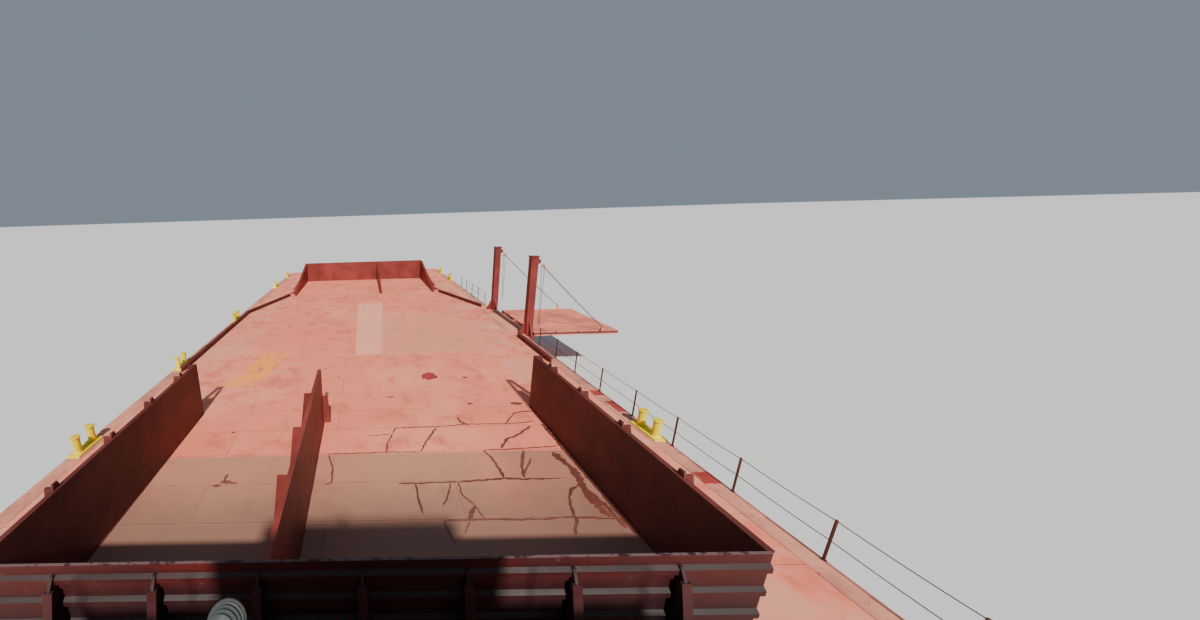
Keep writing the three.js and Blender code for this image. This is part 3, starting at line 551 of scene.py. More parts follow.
RUST = (0.16, 0.06, 0.03)
wall_red = worn_paint("wall_red_oxide", (0.185, 0.014, 0.009), (0.10, 0.022, 0.014), wear=0.66, rough=0.55)
# A darker copy of the red oxide for the cargo walls, coamings and their foot welds: painted shade for the inner
# faces, which the key light only grazes
shaded_wall_red = worn_paint("cargo_wall_red_painted_shade", (0.105, 0.013, 0.009), (0.05, 0.015, 0.011), wear=0.68, rough=0.6)
bulkhead_red = make_bulkhead_paint()
divider_red = worn_paint("divider_red", (0.20, 0.026, 0.018), (0.10, 0.030, 0.020), wear=0.66, rough=0.55)
fresh_red = worn_paint("touched_up_red", (0.36, 0.035, 0.030), (0.20, 0.03, 0.02), wear=0.66)
damp = worn_paint("damp_seam", (0.165, 0.048, 0.034), (0.09, 0.03, 0.02), wear=0.58, rough=0.38, stain=0.2)
ramp_pink = worn_paint("ramp_primer", (0.70, 0.20, 0.13), (0.34, 0.09, 0.055), wear=0.60, rough=0.6)
yellow = worn_paint("bollard_yellow", (0.92, 0.69, 0.001), RUST, wear=0.70, rough=0.42, stain=0.15, grain=26)
strip_red = worn_paint("edge_primer", (0.60, 0.235, 0.165), (0.30, 0.08, 0.05), wear=0.60, rough=0.6)
stanchion_brown = worn_paint("stanchion_brown", (0.10, 0.022, 0.016), (0.05, 0.02, 0.015), wear=0.62,
                             grain=24)
white = worn_paint("house_white", (0.74, 0.745, 0.72), (0.34, 0.20, 0.11), wear=0.70, rough=0.42, stain=0.22)
navy = worn_paint("house_blue", (0.030, 0.085, 0.26), (0.10, 0.07, 0.06), wear=0.70, rough=0.38, stain=0.2)
lamp_grey = worn_paint("lamp_grey", (0.055, 0.068, 0.066), (0.10, 0.07, 0.05), wear=0.64, rough=0.45,
                       grain=60)
orange = worn_paint("rail_orange", (0.72, 0.20, 0.020), RUST, wear=0.66, rough=0.42, grain=30)
machine = worn_paint("machine_red", (0.21, 0.035, 0.03), (0.05, 0.03, 0.02), wear=0.62, rough=0.4, grain=20)
rubber = worn_paint("gasket_rubber", (0.018, 0.018, 0.019), (0.05, 0.05, 0.05), wear=0.7, rough=0.6, grain=40)
chain_steel = steel("chain_steel", (0.16, 0.14, 0.125), (0.12, 0.060, 0.032))
pane = glass("window_pane", (0.020, 0.028, 0.032))
lens_glass = glass("lamp_lens", (0.55, 0.60, 0.60))
hull_paint = make_hull_paint()


# Deck edge: doubler strips, double bollards, and stanchions with their wires

STRIP_X = (5.53, 5.82)
BOLLARD_RADIUS = 0.072
BOLLARD_HEIGHT = 0.395
STANCHION_TOP = DECK + 0.620
STANCHION_RADIUS = 0.016
WIRE_HEIGHTS = (0.31, 0.60)
WIRE_SAG = 0.012


def add_bollards(shape, node):
    """A base plate with two capped posts for each pair of bollards on the node."""
    r, top = BOLLARD_RADIUS, BOLLARD_HEIGHT
    profile = [(0, 0.02), (r + 0.014, 0.02), (r + 0.014, 0.050), (r + 0.002, 0.062), (r, 0.08),
               (r, top - 0.048), (r + 0.012, top - 0.040), (r + 0.020, top - 0.029),
               (r + 0.020, top - 0.011), (r + 0.012, top - 0.003), (r - 0.012, top), (0, top)]
    posts = clusters(node, DECK + top - 0.004, DECK + top + 0.004, 0.3)
    for (x, y0), (_, y1) in zip(posts[0::2], posts[1::2]):
        shape.box((x - 0.125, y0 - 0.152, DECK + 0.001), (x + 0.125, y1 + 0.152, DECK + 0.046), 0.008)
        for y in (y0, y1):
            shape.lathe(profile, Matrix.Translation((x, y, DECK)), 28)


def add_stanchions(shape, node):
    """Posts on round feet, with wires that hang between the eyes on them."""
    r, top = STANCHION_RADIUS, STANCHION_TOP
    posts = clusters(node, top - 0.01, top + 0.004, 0.2)
    for x, y in posts:
        shape.tube([(x, y, DECK + 0.002), (x, y, top - 0.006), (x, y, top)], [r, r, 0.010], 12)
        shape.boss(Matrix.Translation((x, y, DECK)), 0.034, 0.012, 0.018, 0.022, foot=0.002, sides=14)
        for height in WIRE_HEIGHTS:
            shape.hoop(Vector((x, y, DECK + height)), STARBOARD, UP, r, 0.004, count=12)
    for ends in zip(posts, posts[1:]):
        for height in WIRE_HEIGHTS:
            a, b = (Vector((x, y, DECK + height)) for x, y in ends)
            shape.tube([hanging_point(a, b, i / 8, WIRE_SAG) for i in range(9)], 0.006, 6)


def deck_edges():
    for node in ("deck_edge_port", "deck_edge_starboard_aft", "deck_edge_starboard_forward"):
        lo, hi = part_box(node)
        strip_x = sorted((1 if lo.x > 0 else -1) * x for x in STRIP_X)
        strip = Shape()
        strip.box((strip_x[0], lo.y, DECK), (strip_x[1], hi.y, DECK + 0.012), 0.004)
        for x in strip_x:
            steps = int((hi.y - lo.y) / 0.25)
            path = [(x, lo.y + 0.01 + (hi.y - lo.y - 0.02) * i / steps, DECK) for i in range(steps + 1)]
            strip.bead(path, 0.020, 0.007)
        strip.piece(f"{node}_strip", strip_red, "deck_primer", replaces=[node])
        bollards = Shape()
        add_bollards(bollards, node)
        bollards.piece(f"{node}_bollards", yellow, "mooring_yellow")
        if node != "deck_edge_port":
            guard = Shape()
            add_stanchions(guard, node)
            guard.piece(f"{node}_stanchions", stanchion_brown, "red_oxide")


# Rails of the upper decks, with lifebuoys on the lower one

RAIL_HEIGHTS = (0.26, 0.50)
RAIL_RADII = (0.011, 0.0155)
POST_PITCH = 1.05
LADDER_GAP = 1.15
BUOY_RADIUS = 0.147


def add_rails(shape, corners, floor):
    """Two rails along the corners and posts on round feet, evenly spaced on each side."""
    for (xa, ya), (xb, yb) in zip(corners, corners[1:]):
        count = max(1, round(math.hypot(xb - xa, yb - ya) / POST_PITCH))
        for height, radius in zip(RAIL_HEIGHTS, RAIL_RADII):
            shape.tube([(xa, ya, floor + height), (xb, yb, floor + height)], radius, 12)
        for i in range(count + 1):
            x = xa + (xb - xa) * i / count
            y = ya + (yb - ya) * i / count
            shape.tube([(x, y, floor + 0.002), (x, y, floor + RAIL_HEIGHTS[-1])], 0.014, 12)
            shape.boss(Matrix.Translation((x, y, floor)), 0.036, 0.009, 0.017, 0.020, foot=0.001, sides=16)


def rails():
    """Each rail runs from the ladder's head round its deck to the other side of the ladder."""
    r = 0.015
    for deck, fore in (("bridge_deck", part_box("bridge_deck")[1].y - 0.06),
                       ("cabin_deck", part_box("cabin_deck_rails")[1].y - r)):
        lo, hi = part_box(f"{deck}_rails")
        port, starboard, aft = lo.x + r, hi.x - r, lo.y + r
        corners = [(starboard, aft), (starboard, fore), (port, fore), (port, aft),
                   (starboard - LADDER_GAP, aft)]
        shape = Shape()
        add_rails(shape, corners, lo.z)
        shape.piece(f"{deck}_railing", orange, "rail_orange", replaces=[f"{deck}_rails"])


def on_dial(centre, angle, reach):
    """The point at an angle and a reach from centre, in the upright plane across the barge."""
    return centre + reach * (math.cos(angle) * STARBOARD + math.sin(angle) * UP)


def lifebuoys():
    """A ring with four bands and a grab line that hangs in loops between them."""
    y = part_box("bridge_deck_rails")[1].y - 0.035
    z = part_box("bridge_deck")[1].z + RAIL_HEIGHTS[0]
    ring, bands, line = Shape(), Shape(), Shape()
    for x in (-2.5, 2.5):
        centre = Vector((x, y, z))
        ring.hoop(centre, STARBOARD, UP, BUOY_RADIUS, 0.034, count=48, sides=16)
        for middle in (45, 135, 225, 315):
            arc = [math.radians(middle + step) for step in range(-11, 12, 2)]
            bands.tube([on_dial(centre, a, BUOY_RADIUS) for a in arc], 0.0355, 16)
        loops = [on_dial(centre, a, 0.183 + 0.014 * abs(math.sin(2 * (a - math.pi / 4)))) for a in around(64)]
        line.tube(loops, 0.004, 6, loop=True)
    ring.piece("lifebuoy_rings", orange, "rail_orange")
    bands.piece("lifebuoy_bands", white, "house_white")
    line.piece("lifebuoy_lines", white, "house_white")


# Side ramp: chains of links, chain hoists, edge lugs and the flap plate on deck

LINK_LENGTH = 0.085
LINK_WIDTH = 0.052
LINK_WIRE = 0.0085
CHAIN_SAG = 0.035
RAMP_TOP = 2.11
PLATE_Y = (0.62, 3.84)


def add_link(shape, centre, along, side):
    r = LINK_WIDTH / 2 - LINK_WIRE
    straight = LINK_LENGTH / 2 - LINK_WIRE - r
    points = []
    for end in (1, -1):
        for i in range(6):
            a = math.pi * (i / 5 - 0.5)
            ahead, aside = straight + r * math.cos(a), r * math.sin(a)
            points.append(centre + along * (end * ahead) + side * (end * aside))
    shape.tube(points, LINK_WIRE, 6, loop=True)


def add_chain(shape, a, b):
    """Links from a to b along the chain's sag, each turned a quarter from the last."""
    count = int((b - a).length / (LINK_LENGTH - 2 * LINK_WIRE - 0.001))
    for i in range(count):
        t = (i + 0.5) / count
        before, centre, after = (hanging_point(a, b, t + dt, CHAIN_SAG) for dt in (-0.01, 0, 0.01))
        along = (after - before).normalized()
        across = along.cross(UP).normalized()
        add_link(shape, centre, along, across if i % 2 else along.cross(across))


def add_hoist(hoists, loops, head, foot, side, bottom):
    """A hoist's body along the chain, its wheel on the side away from the ramp, and its hand chain,
    which hangs beside the post in a long loop."""
    hoists.lathe([(0, 0), (0.009, 0), (0.009, 0.034), (0.020, 0.042), (0.030, 0.062), (0.032, 0.110),
                  (0.028, 0.142), (0.016, 0.160), (0.008, 0.170), (0, 0.170)],
                 place_along(head.lerp(foot, 0.012), foot, FORWARD), 20)
    middle = head.lerp(foot, 0.035)
    outward = 0.048 * side * FORWARD
    hoists.lathe([(0, 0), (0.042, 0), (0.046, 0.008), (0.034, 0.012), (0.046, 0.016), (0.042, 0.024),
                  (0, 0.024)], place_along(middle + outward, middle), 24)
    wheel_y = middle.y + outward.y * 0.78
    over = ((-0.047, 0), (-0.033, 0.033), (0, 0.047), (0.033, 0.033), (0.047, 0))
    under = ((0.016, 0), (0.011, -0.016), (0, -0.022), (-0.011, -0.016), (-0.016, 0))
    loops.tube([(middle.x + dx, wheel_y, middle.z + dz) for dx, dz in over]
               + [(middle.x + 0.026 + dx, wheel_y, bottom + dz) for dx, dz in under], 0.008, 6, loop=True)


def topping_chains():
    """Each chain runs from a hoist at the post's head to the ramp."""
    hoists, loops = Shape(), Shape()
    for node, side, bottom in (("ramp_chain_aft", -1, 0.30), ("ramp_chain_forward", 1, 0.55)):
        lo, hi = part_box(node)
        post_lo, post_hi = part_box(node.replace("chain", "post"))
        head = Vector((lo.x + 0.012, (post_lo.y + post_hi.y) / 2, hi.z - 0.010))
        foot = Vector((hi.x - 0.012, hi.y - 0.016 if side < 0 else lo.y + 0.016, lo.z + 0.014))
        chain = Shape()
        add_chain(chain, head.lerp(foot, 0.055), foot)
        piece = chain.piece(f"{node}_links", chain_steel, "bare_steel", body=None, replaces=[node])
        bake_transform(piece)
        add_hoist(hoists, loops, head, foot, side, DECK + bottom)
    hoists.piece("ramp_chain_hoists", orange, "rail_orange")
    loops.piece("ramp_hand_chains", chain_steel, "bare_steel")


def ramp_fittings():
    """Lugs on the after edge, weld beads and edge bars on the ramp, and plates on the deck at its foot."""
    lo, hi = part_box("side_ramp")
    top = RAMP_TOP
    lugs, beads, bars, plates = Shape(), Shape(), Shape(), Shape()
    for x in (7.0, 7.83, 8.6):
        lugs.box((x - 0.03, lo.y - 0.012, top - 0.05), (x + 0.03, lo.y + 0.014, top + 0.035), 0.006)
        lugs.tube([(x, lo.y - 0.022, top + 0.012), (x, lo.y + 0.02, top + 0.012)], 0.016, 12)
    lugs.piece("ramp_edge_lugs", wall_red, "red_oxide", body="side_ramp")
    inner = lo.x + 0.1
    edge_bead, seam_bead = (0.022, 0.008), (0.016, 0.005)
    for y, size in ((lo.y + 0.075, edge_bead), (hi.y - 0.075, edge_bead), (lo.y + 0.9, seam_bead),
                    (lo.y + 1.72, seam_bead), (lo.y + 2.5, seam_bead)):
        beads.bead([(inner + (hi.x - inner - 0.03) * i / 40, y, top) for i in range(41)], *size)
    beads.piece("ramp_weld_beads", ramp_pink, "deck_primer", body="side_ramp")
    for y in (lo.y, hi.y):
        bars.box((inner - 0.04, y - 0.003, top - 0.072), (hi.x - 0.02, y + 0.003, top - 0.003), 0.001)
    bars.piece("ramp_edge_bars", stanchion_brown, "red_oxide", body="side_ramp")
    for x, thickness in ((5.275, 0.008), (5.86, 0.010)):
        plates.box((x, PLATE_Y[0], DECK), (x + 0.2, PLATE_Y[1], DECK + thickness))
    plates.piece("ramp_threshold_plates", strip_red, "deck_primer")


# Windows: a pane behind a rubber frame, in each opening of a wall

STORE_SIDES = (1.3, 3.0)
STORE_ENDS = (-15.5, -11.25)
WINDOW_BORDER = 0.028


def opening_spans(node, along, sill):
    """The openings' reach along a wall (0 for x, 1 for y), from the node's corners at the sill's height."""
    found = sorted({round(v.co[along], 3) for v in nodes[node].data.vertices if abs(v.co.z - sill) < 0.004})
    return list(zip(found[0::2], found[1::2]))


def even_spans(ends, count, width):
    step = (ends[1] - ends[0]) / count
    middles = [ends[0] + step * (i + 0.5) for i in range(count)]
    return [(middle - width / 2, middle + width / 2) for middle in middles]


def add_window(frames, panes, axis, face, out, span, heights, depth=0.009, back=0.024):
    """axis is the wall's thin direction, out the way its face looks, span the opening's reach along it."""
    def sheet(shape, through, across, up, chamfer):
        reach = [None, None, up]
        reach[axis], reach[1 - axis] = sorted(through), across
        shape.box(*zip(*reach), chamfer)

    (a, b), (low, high), border, lap = span, heights, WINDOW_BORDER, 0.002
    for across, up in (((a - border, b + border), (low - border, low)),
                       ((a - border, b + border), (high, high + border)),
                       ((a - border, a), heights), ((b, b + border), heights)):
        sheet(frames, (face - out * 0.004, face + out * depth), across, up, 0.003)
    through = (face - out * (back + 0.006), face - out * back)
    sheet(panes, through, (a - lap, b + lap), (low - lap, high + lap), 0.001)


def wall_windows():
    for tier, sill, head in (("cabin", 0.52, 0.88), ("wheelhouse", 0.56, 0.98)):
        frames, panes = Shape(), Shape()
        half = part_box(f"{tier}_front_wall")[1].x
        for side, axis, out in (("front", 1, 1), ("back", 1, -1), ("port", 0, -1), ("starboard", 0, 1)):
            node = f"{tier}_{side}_wall"
            lo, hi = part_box(node)
            face = (hi.y if out > 0 else lo.y) if axis == 1 else out * half
            for span in opening_spans(node, 1 - axis, lo.z + sill):
                add_window(frames, panes, axis, face, out, span, (lo.z + sill, lo.z + head))
        frames.piece(f"{tier}_window_frames", rubber, "bare_steel")
        panes.piece(f"{tier}_window_panes", pane, "bare_steel")


def store_windows():
    heights = (DECK + 0.62, DECK + 0.90)
    frames, panes = Shape(), Shape()
    for side in (-1, 1):
        for y, out in ((STORE_ENDS[1], 1), (STORE_ENDS[0], -1)):
            for span in even_spans(STORE_SIDES, 2, 0.3):
                add_window(frames, panes, 1, y, out, sorted(side * x for x in span), heights)
        for span in even_spans(STORE_ENDS, 3, 0.3):
            add_window(frames, panes, 0, side * STORE_SIDES[1], side, span, heights)
    frames.piece("store_window_frames", rubber, "bare_steel")
    panes.piece("store_window_panes", pane, "bare_steel")


# Marks on the deck

# The width and the points of each stain
SEAM_STAINS = (
    (0.03, ((0.04, -5.8), (0.3, -5.78), (0.56, -5.75))),
    (0.035, ((0.56, -5.75), (0.64, -5.54), (1.07, -5.52), (1.5, -5.51),
             (2.21, -5.45), (3.02, -5.47), (3.65, -5.39))),
    (0.035, ((0.56, -5.75), (0.43, -6.09), (0.4, -6.41))),
    (0.03, ((-0.72, -6.38), (-0.16, -6.37), (0.42, -6.35), (1.05, -6.37))),
    (0.045, ((1.05, -6.37), (1.21, -6.04), (1.5, -5.55))),
    (0.035, ((-0.72, -6.38), (-0.6, -6.75), (-0.59, -7.15), (-0.71, -7.21))),
    (0.07, ((2.04, -5.17), (2.05, -5.35), (2.21, -5.49))),
    (0.06, ((2.59, -6.31), (2.82, -6.01), (3.13, -5.85), (3.49, -5.57))),
    (0.035, ((2.25, -6.36), (2.75, -6.34), (3.23, -6.31), (3.69, -6.28))),
    (0.06, ((2.25, -6.36), (2.34, -6.7), (2.36, -7.12))),
    (0.06, ((3.0, -6.37), (2.77, -6.85), (2.7, -7.13))),
    (0.04, ((3.03, -6.63), (2.87, -6.85), (2.73, -7.05))),
    (0.045, ((1.56, -7.21), (2.0, -7.17), (2.36, -7.14), (2.73, -7.17), (3.29, -7.17))),
    (0.035, ((0.54, -7.21), (0.84, -7.22), (1.43, -7.2), (1.56, -7.21))),
    (0.04, ((0.84, -7.22), (0.84, -7.64), (0.87, -7.9))),
    (0.03, ((1.43, -7.22), (1.3, -7.55), (1.19, -7.72))),
    (0.03, ((1.56, -7.21), (1.55, -7.5), (1.68, -7.72), (1.76, -8.0))),
    (0.08, ((1.7, -7.73), (1.59, -7.88), (1.52, -8.01))),
    (0.035, ((1.15, -8.01), (1.53, -8.01), (1.87, -8.01), (2.26, -8.02), (2.64, -8.02), (2.87, -7.99))),
    (0.03, ((1.53, -8.02), (1.45, -8.16), (1.39, -8.26))),
    (0.04, ((1.15, -8.01), (1.18, -8.22), (1.23, -8.44))),
    (0.03, ((3.33, -5.07), (3.13, -5.29), (2.98, -5.49))),
    (0.05, ((3.28, -5.07), (3.53, -4.99), (3.78, -4.98))),
    (0.05, ((3.47, -7.36), (3.32, -7.44), (3.18, -7.66), (3.09, -7.94), (3.1, -8.02), (2.92, -8.31))),
    (0.035, ((2.87, -7.99), (3.2, -8.01), (3.7, -8.04))),
    (0.15, ((3.50, -6.45), (3.58, -6.75), (3.62, -7.05), (3.56, -7.35), (3.52, -7.66), (3.60, -8.0))),
    (0.09, ((3.56, -7.35), (3.66, -7.75), (3.70, -8.2))),
    (0.06, ((3.74, -5.5), (3.75, -6.4), (3.76, -7.3), (3.76, -8.3))),
)
# The place and the two radii of each blot
RED_BLOT = (1.76, -3.0, 0.23, 0.27)
DARK_BLOTS = (
    (-2.44, -7.09, 0.11, 0.05), (-2.56, -7.18, 0.08, 0.04), (-2.30, -7.12, 0.09, 0.025),
    (-2.48, -6.97, 0.03, 0.09),
    (1.79, 3.72, 0.12, 0.05), (0.64, -4.15, 0.11, 0.03), (2.48, -4.58, 0.08, 0.04), (2.74, -3.13, 0.08, 0.05),
    (-0.75, -2.9, 0.05, 0.03), (-2.83, -5.56, 0.05, 0.03), (3.55, -4.62, 0.16, 0.07), (-3.1, 2.2, 0.07, 0.05),
)
# The low and high x and the low and high y of each patch on the side deck
SIDE_PATCHES = ((5.55, 5.80, -4.34, -4.08), (5.62, 5.81, -5.12, -4.62), (5.54, 5.81, -7.38, -7.10))


def deck_marks():
    stains = Shape()
    for i, (width, points) in enumerate(SEAM_STAINS):
        stains.film(points, width * 0.9, 0.0012 + 0.0001 * i)
    for blot in DARK_BLOTS:
        stains.blot(*blot, 0.0010)
    stains.piece("deck_seam_stains", damp, "deck_primer")
    patches = Shape()
    patches.blot(*RED_BLOT, 0.0015)
    for x0, x1, y0, y1 in SIDE_PATCHES:
        corners = [(x0, y0), (x1, y0), (x1, y1), (x0, y1), (x0, y0)]
        outline = [(x + draw.uniform(-0.012, 0.008), y + draw.uniform(-0.010, 0.010))
                   for x, y in walk(corners, 0.07)]
        patches.slab(outline[:-1], DECK + 0.011, DECK + 0.0135)
    patches.piece("deck_red_patches", fresh_red, "red_oxide")


def weld_line(shape, a, b, width=0.030, height=0.012):
    shape.bead([(x, y, DECK) for x, y in jitter(walk((a, b), 0.22), 0.003)], width, height)


def foot_welds():
    """Weld beads along the feet of the walls and bulkheads, just short of their ends."""
    welds = Shape()
    for node in ("cargo_wall_port", "cargo_wall_starboard"):
        lo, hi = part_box(node)
        x = math.copysign(3.797, lo.x)
        weld_line(welds, (x, lo.y + 0.03), (x, hi.y - 0.02))
    lo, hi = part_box("cargo_divider")
    x = hi.x - 0.147
    weld_line(welds, (x, lo.y + 0.03), (x, hi.y - 0.06))
    for y, half in ((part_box("aft_bulkhead")[1].y + 0.004, 3.78), (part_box("bow_bulkhead")[0].y - 0.004, 3.88)):
        weld_line(welds, (-half, y), (half, y))
    welds.piece("wall_foot_welds", shaded_wall_red, "red_oxide")


# The wheelhouse roof, with its drip edge, plate welds and floodlight

ROOF_FORE = -12.05
LAMP_X = -0.245
LAMP_REACH = 0.085
LAMP_RISE = -0.020
LAMP_TILT = 0.6
GUARD_WIRE = 0.0018


def wheelhouse_roof():
    lo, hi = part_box("wheelhouse_roof")
    top = lo.z + 0.11
    drip_low, drip_high = lo.z + 0.055, lo.z + 0.075
    roof = Shape()
    roof.box((lo.x, lo.y, lo.z), (hi.x, ROOF_FORE, top), 0.010)
    for x in (lo.x, hi.x):
        roof.box((x - 0.006, lo.y - 0.004, drip_low), (x + 0.006, ROOF_FORE + 0.004, drip_high))
    for y in (lo.y, ROOF_FORE):
        roof.box((lo.x - 0.004, y - 0.006, drip_low), (hi.x + 0.004, y + 0.006, drip_high))
    for x in (-0.47, 0.47):
        roof.bead([(x, lo.y + 0.05 + 0.1 * i, top) for i in range(28)], 0.018, 0.004)
    roof.piece("wheelhouse_roof_plate", white, "house_white", replaces=["wheelhouse_roof"])
    floodlight(top)


def floodlight(roof_top):
    """A ribbed bowl tilted down in a yoke, with a lens behind a wire guard."""
    centre = Vector((LAMP_X, ROOF_FORE + LAMP_REACH, roof_top + LAMP_RISE))
    forward = math.cos(LAMP_TILT) * FORWARD - math.sin(LAMP_TILT) * UP
    place = place_along(centre, centre + forward, STARBOARD)
    bowl, yoke, guard, lens = Shape(), Shape(), Shape(), Shape()
    profile = [(0, -0.062), (0.010, -0.062), (0.013, -0.056)]
    for k in range(5):
        r = 0.016 + 0.022 * math.sqrt(k / 4)
        h = -0.054 + 0.012 * k
        profile += [(r, h), (r + 0.0035, h + 0.002), (r + 0.0035, h + 0.005), (r + 0.001, h + 0.007)]
    profile += [(0.042, 0.002), (0.044, 0.004), (0.044, 0.009), (0.039, 0.010), (0.036, 0.004), (0, 0.004)]
    bowl.lathe(profile, place, 40)
    bowl.piece("floodlight_housing", lamp_grey, "bare_steel")
    yoke.box((LAMP_X - 0.055, ROOF_FORE + 0.002, centre.z - 0.046),
             (LAMP_X + 0.055, ROOF_FORE + 0.012, centre.z - 0.020), 0.002)
    for side in (-STARBOARD, STARBOARD):
        root = Vector((LAMP_X, ROOF_FORE + 0.006, centre.z - 0.030)) + side * 0.049
        pivot = centre - forward * 0.008 + side * 0.049
        yoke.tube([root, root.lerp(pivot, 0.5) - UP * 0.006, pivot], 0.0045, 8)
        hub = place_along(pivot - side * 0.006, pivot)
        yoke.lathe([(0, 0), (0.008, 0), (0.008, 0.006), (0, 0.006)], hub, 12)
    yoke.piece("floodlight_yoke", chain_steel, "bare_steel")
    for radius in (0.014, 0.027, 0.038):
        ring = [place @ Vector((radius * math.cos(a), radius * math.sin(a), 0.022 - radius * 0.12))
                for a in around(28)]
        guard.tube(ring, GUARD_WIRE, 6, loop=True)
    for a in around(8)[:4]:
        across = Vector((math.cos(a), math.sin(a), 0))
        arch = ((-0.041, 0.008), (-0.034, 0.018), (0, 0.021), (0.034, 0.018), (0.041, 0.008))
        guard.tube([place @ (across * reach + UP * rise) for reach, rise in arch], GUARD_WIRE, 6)
    guard.piece("floodlight_guard", chain_steel, "bare_steel")
    lens.lathe([(0, 0.003), (0.0362, 0.003), (0.0362, 0.005), (0.025, 0.010), (0.012, 0.0125), (0, 0.013)],
               place, 32)
    lens.piece("floodlight_lens", lens_glass, "bare_steel")


# Doors: levers, hinge straps with bolts, dogs, and a window where the leaf has an opening

LEAF_HALF = 0.018


def door_fittings():
    for name in sorted(n for n in nodes if "_door_" in n):
        lo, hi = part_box(name)
        x = (lo.x + hi.x) / 2
        store = name.startswith("store")
        out = (1 if x > 0 else -1) * (-1 if store else 1)
        face = x + out * LEAF_HALF
        edge = lo.y + 0.046
        y, z = edge + 0.38, lo.z + 0.451
        fittings = Shape()
        for side in (-1, 1):
            inner = x + side * LEAF_HALF
            grip = inner + side * 0.030
            fittings.boss(place_along((inner, y, z), (grip, y, z)), 0.026, 0.004, 0.020, 0.006, sides=20)
            fittings.bar((grip, y + 0.005, z), (grip, y - 0.095, z - 0.011), 0.014, 0.008)
        for z in (lo.z + 0.14, lo.z + 0.82):
            fittings.box((face - 0.002, edge + 0.01, z - 0.014), (face + 0.002, edge + 0.16, z + 0.014),
                         0.001)
            for y in (edge + 0.05, edge + 0.13):
                place = place_along((face + out * 0.001, y, z), (face + out, y, z))
                fittings.boss(place, 0.006, 0.004, 0.003, 0.0045, sides=8)
        for z in (lo.z + 0.10, lo.z + 0.50, lo.z + 0.86):
            fittings.box((face - 0.003, edge + 0.405, z - 0.012), (face + 0.003, edge + 0.430, z + 0.012),
                         0.001)
        fittings.piece(f"{name}_levers", chain_steel, "bare_steel", body=name)
        if not store:
            frames, panes = Shape(), Shape()
            add_window(frames, panes, 0, face, out, (edge + 0.08, edge + 0.32), (lo.z + 0.56, lo.z + 0.84),
                       depth=0.0035, back=0.012)
            frames.piece(f"{name}_window_frame", rubber, "bare_steel", body=name)
            panes.piece(f"{name}_window_pane", pane, "bare_steel", body=name)


# Winches, hatches and mast

ROPE_TURNS = 18
ROPE_RADIUS = 0.007
MAST_Y = -14.5
STAY_HEIGHT = 1.5


def drum_details(end, rope_depth):
    """Bolts and a collar on each flange, and turns of wire rope round the barrel."""
    lo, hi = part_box(f"{end}_winch_drum")
    centre = (lo + hi) / 2
    flange = (hi.z - lo.z) / 2
    half = (hi.x - lo.x) / 2 + 0.008
    drum = Shape()
    for side in (-STARBOARD, STARBOARD):
        face = centre + side * (half - 0.09)
        place = place_along(face, face + side)
        for a in around(10):
            x, y = 0.7 * flange * math.cos(a), 0.7 * flange * math.sin(a)
            drum.boss(place @ Matrix.Translation((x, y, -0.001)), 0.015, 0.009, 0.011, 0.011)
        drum.lathe([(0.056, 0), (0.105, 0), (0.105, 0.010), (0.085, 0.022), (0.056, 0.022)], place, 28)
    for k in range(ROPE_TURNS):
        along = (half - 0.14) * (2 * (k + 0.5) / ROPE_TURNS - 1)
        drum.hoop(centre + along * STARBOARD, FORWARD, UP, flange - rope_depth, ROPE_RADIUS)
    drum.piece(f"{end}_winch_drum_details", chain_steel, "bare_steel", body=f"{end}_winch_drum")
    return centre


def frame_fittings(end, centre):
    """Bed bolts, cooling ribs on the gear case and the brake lever."""
    lo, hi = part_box(f"{end}_winch_frame")
    case_top = centre.z + 0.13
    gear_x = hi.x - 0.38
    fixed = Shape()
    for y in (lo.y + 0.08, hi.y - 0.08):
        for x in (lo.x + 0.12, lo.x + 0.45, gear_x - 0.45, gear_x - 0.12):
            fixed.boss(Matrix.Translation((x, y, lo.z + 0.06)), 0.022, 0.016, 0.016, 0.019)
    for k in range(7):
        y = centre.y - 0.15 + 0.05 * k
        fixed.box((hi.x - 0.001, y - 0.007, lo.z + 0.12), (hi.x + 0.010, y + 0.007, case_top - 0.05), 0.002)
    foot = Vector((gear_x + 0.05, centre.y - 0.15, case_top))
    fixed.tube([foot - UP * 0.002, foot + UP * 0.16, foot + Vector((0, -0.04, 0.24))], 0.010, 10)
    fixed.lathe([(0, 0), (0.020, 0.006), (0.024, 0.022), (0.018, 0.036), (0, 0.042)],
                Matrix.Translation(foot + Vector((0, -0.045, 0.235))), 16)
    fixed.piece(f"{end}_winch_fittings", machine, "machine_red")


def winch_fittings():
    for end, rope_depth in (("bow", 0.129), ("stern", 0.139)):
        frame_fittings(end, drum_details(end, rope_depth))


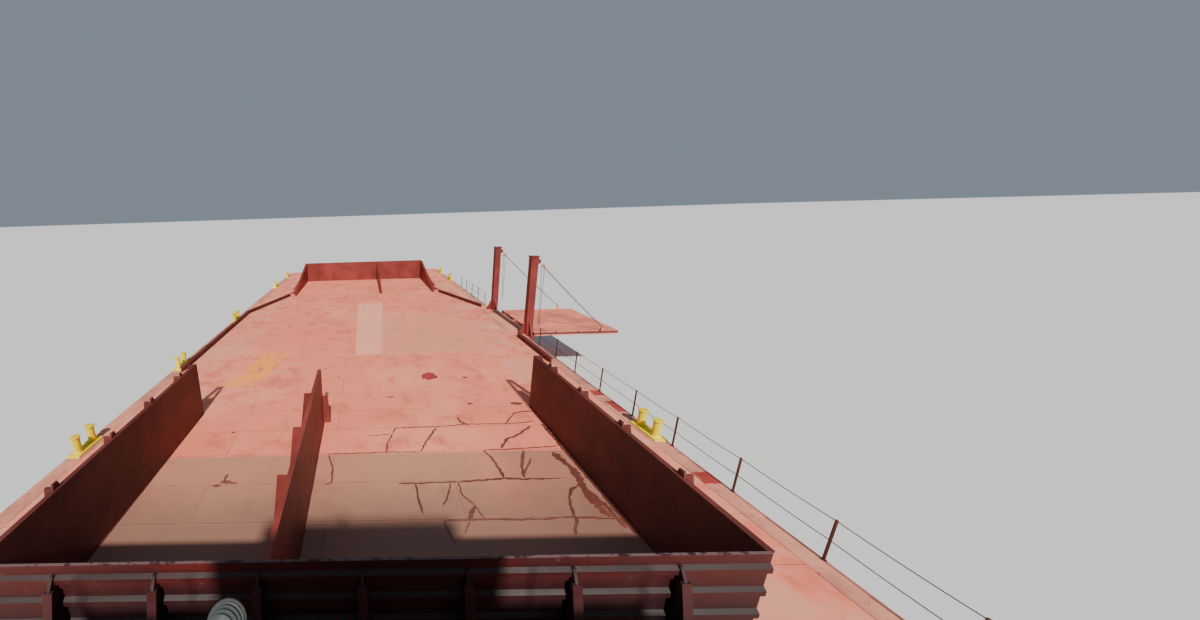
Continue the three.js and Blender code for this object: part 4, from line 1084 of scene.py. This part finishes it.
def hatch_fittings():
    for side in ("port", "starboard"):
        lo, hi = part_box(f"hatch_lid_{side}")
        x = (lo.x + hi.x) / 2
        top = lo.z + 0.04
        lid = Shape()
        for y in (lo.y + 0.10, hi.y - 0.05):
            lid.box((lo.x + 0.05, y - 0.015, top - 0.001), (hi.x - 0.05, y + 0.015, top + 0.006), 0.002)
        for dx in (-0.22, 0.22):
            lid.box((x + dx - 0.02, lo.y + 0.005, top - 0.001), (x + dx + 0.02, lo.y + 0.24, top + 0.008),
                    0.002)
        lid.piece(f"hatch_lid_{side}_straps", wall_red, "red_oxide", body=f"hatch_lid_{side}")
        lo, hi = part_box(f"hatch_coaming_{side}")
        dogs = Shape()
        for (x, out), y in itertools.product(((lo.x, -1), (hi.x, 1)), (lo.y + 0.2, hi.y - 0.2)):
            near, far = sorted((x - out * 0.006, x + out * 0.012))
            dogs.box((near, y - 0.03, hi.z - 0.12), (far, y + 0.03, hi.z - 0.04))
            dogs.tube([(x + out * 0.012, y, hi.z - 0.10), (x + out * 0.020, y, hi.z - 0.07),
                       (x + out * 0.020, y, hi.z - 0.035)], 0.006, 8)
        rim = [(lo.x, lo.y), (hi.x, lo.y), (hi.x, hi.y), (lo.x, hi.y), (lo.x, lo.y)]
        for a, b in zip(rim, rim[1:]):
            weld_line(dogs, a, b, 0.028, 0.010)
        dogs.piece(f"hatch_coaming_{side}_dogs", wall_red, "red_oxide")


def mast_rigging():
    """Four stays with their feet and turnbuckles, and a glass band on each of the two lamps."""
    lo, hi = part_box("signal_mast")
    roof_lo, roof_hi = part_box("wheelhouse_roof")
    head = Vector((0, MAST_Y, lo.z + STAY_HEIGHT))
    rigging, lamps = Shape(), Shape()
    for side in (-1, 1):
        for y in (roof_lo.y + 0.08, -13.2):
            foot = Vector((side * (roof_hi.x - 0.08), y, lo.z + 0.004))
            rigging.tube([foot, head], 0.0035, 6)
            rigging.boss(Matrix.Translation((foot.x, foot.y, lo.z)), 0.03, 0.006, 0.012, 0.010, foot=-0.002,
                         sides=12)
            rigging.tube([foot.lerp(head, 0.03), foot.lerp(head, 0.09)], 0.009, 8)
    rigging.piece("mast_stays", chain_steel, "bare_steel")
    for y, z in ((MAST_Y, hi.z - 0.075), (MAST_Y + 0.17, lo.z + 1.52)):
        lamps.lathe([(0.0485, -0.025), (0.053, -0.020), (0.053, 0.020), (0.0485, 0.025)],
                    Matrix.Translation((0, y, z)), 24)
    lamps.piece("mast_lamp_lenses", lens_glass, "bare_steel")


# The frame's own pieces: each takes the first coat whose pattern fits its name's start

COATS = (
    ("hull", hull_paint), ("side_ramp", ramp_pink), (".*_door_|wheelhouse.*wall$", navy),
    (".*winch_frame", machine), (".*winch_drum", chain_steel),
    ("store|cabin|wheelhouse|bridge|deck_ladder|signal", white), ("cargo_wall|coaming", shaded_wall_red),
    ("cargo_divider", divider_red), ("aft_bulkhead", bulkhead_red), ("", wall_red),
)


def paint_frame():
    for name, node in nodes.items():
        node.data.materials.clear()
        node.data.materials.append(next(coat for pattern, coat in COATS if re.match(pattern, name)))


def make_floor():
    bm = bmesh.new()
    bmesh.ops.create_grid(bm, x_segments=1, y_segments=1, size=900)
    mesh = bpy.data.meshes.new("floor")
    bm.to_mesh(mesh)
    bm.free()
    mesh.materials.append(Paint("floor", roughness=0.9).finish((0.62, 0.64, 0.66)))
    floor = put("floor", mesh)
    floor.location = (0, 0, WATERLINE)


make_camera()
make_light()
make_floor()
paint_frame()
deck_edges()
rails()
lifebuoys()
topping_chains()
ramp_fittings()
wall_windows()
store_windows()
deck_marks()
foot_welds()
wheelhouse_roof()
door_fittings()
winch_fittings()
hatch_fittings()
mast_rigging()
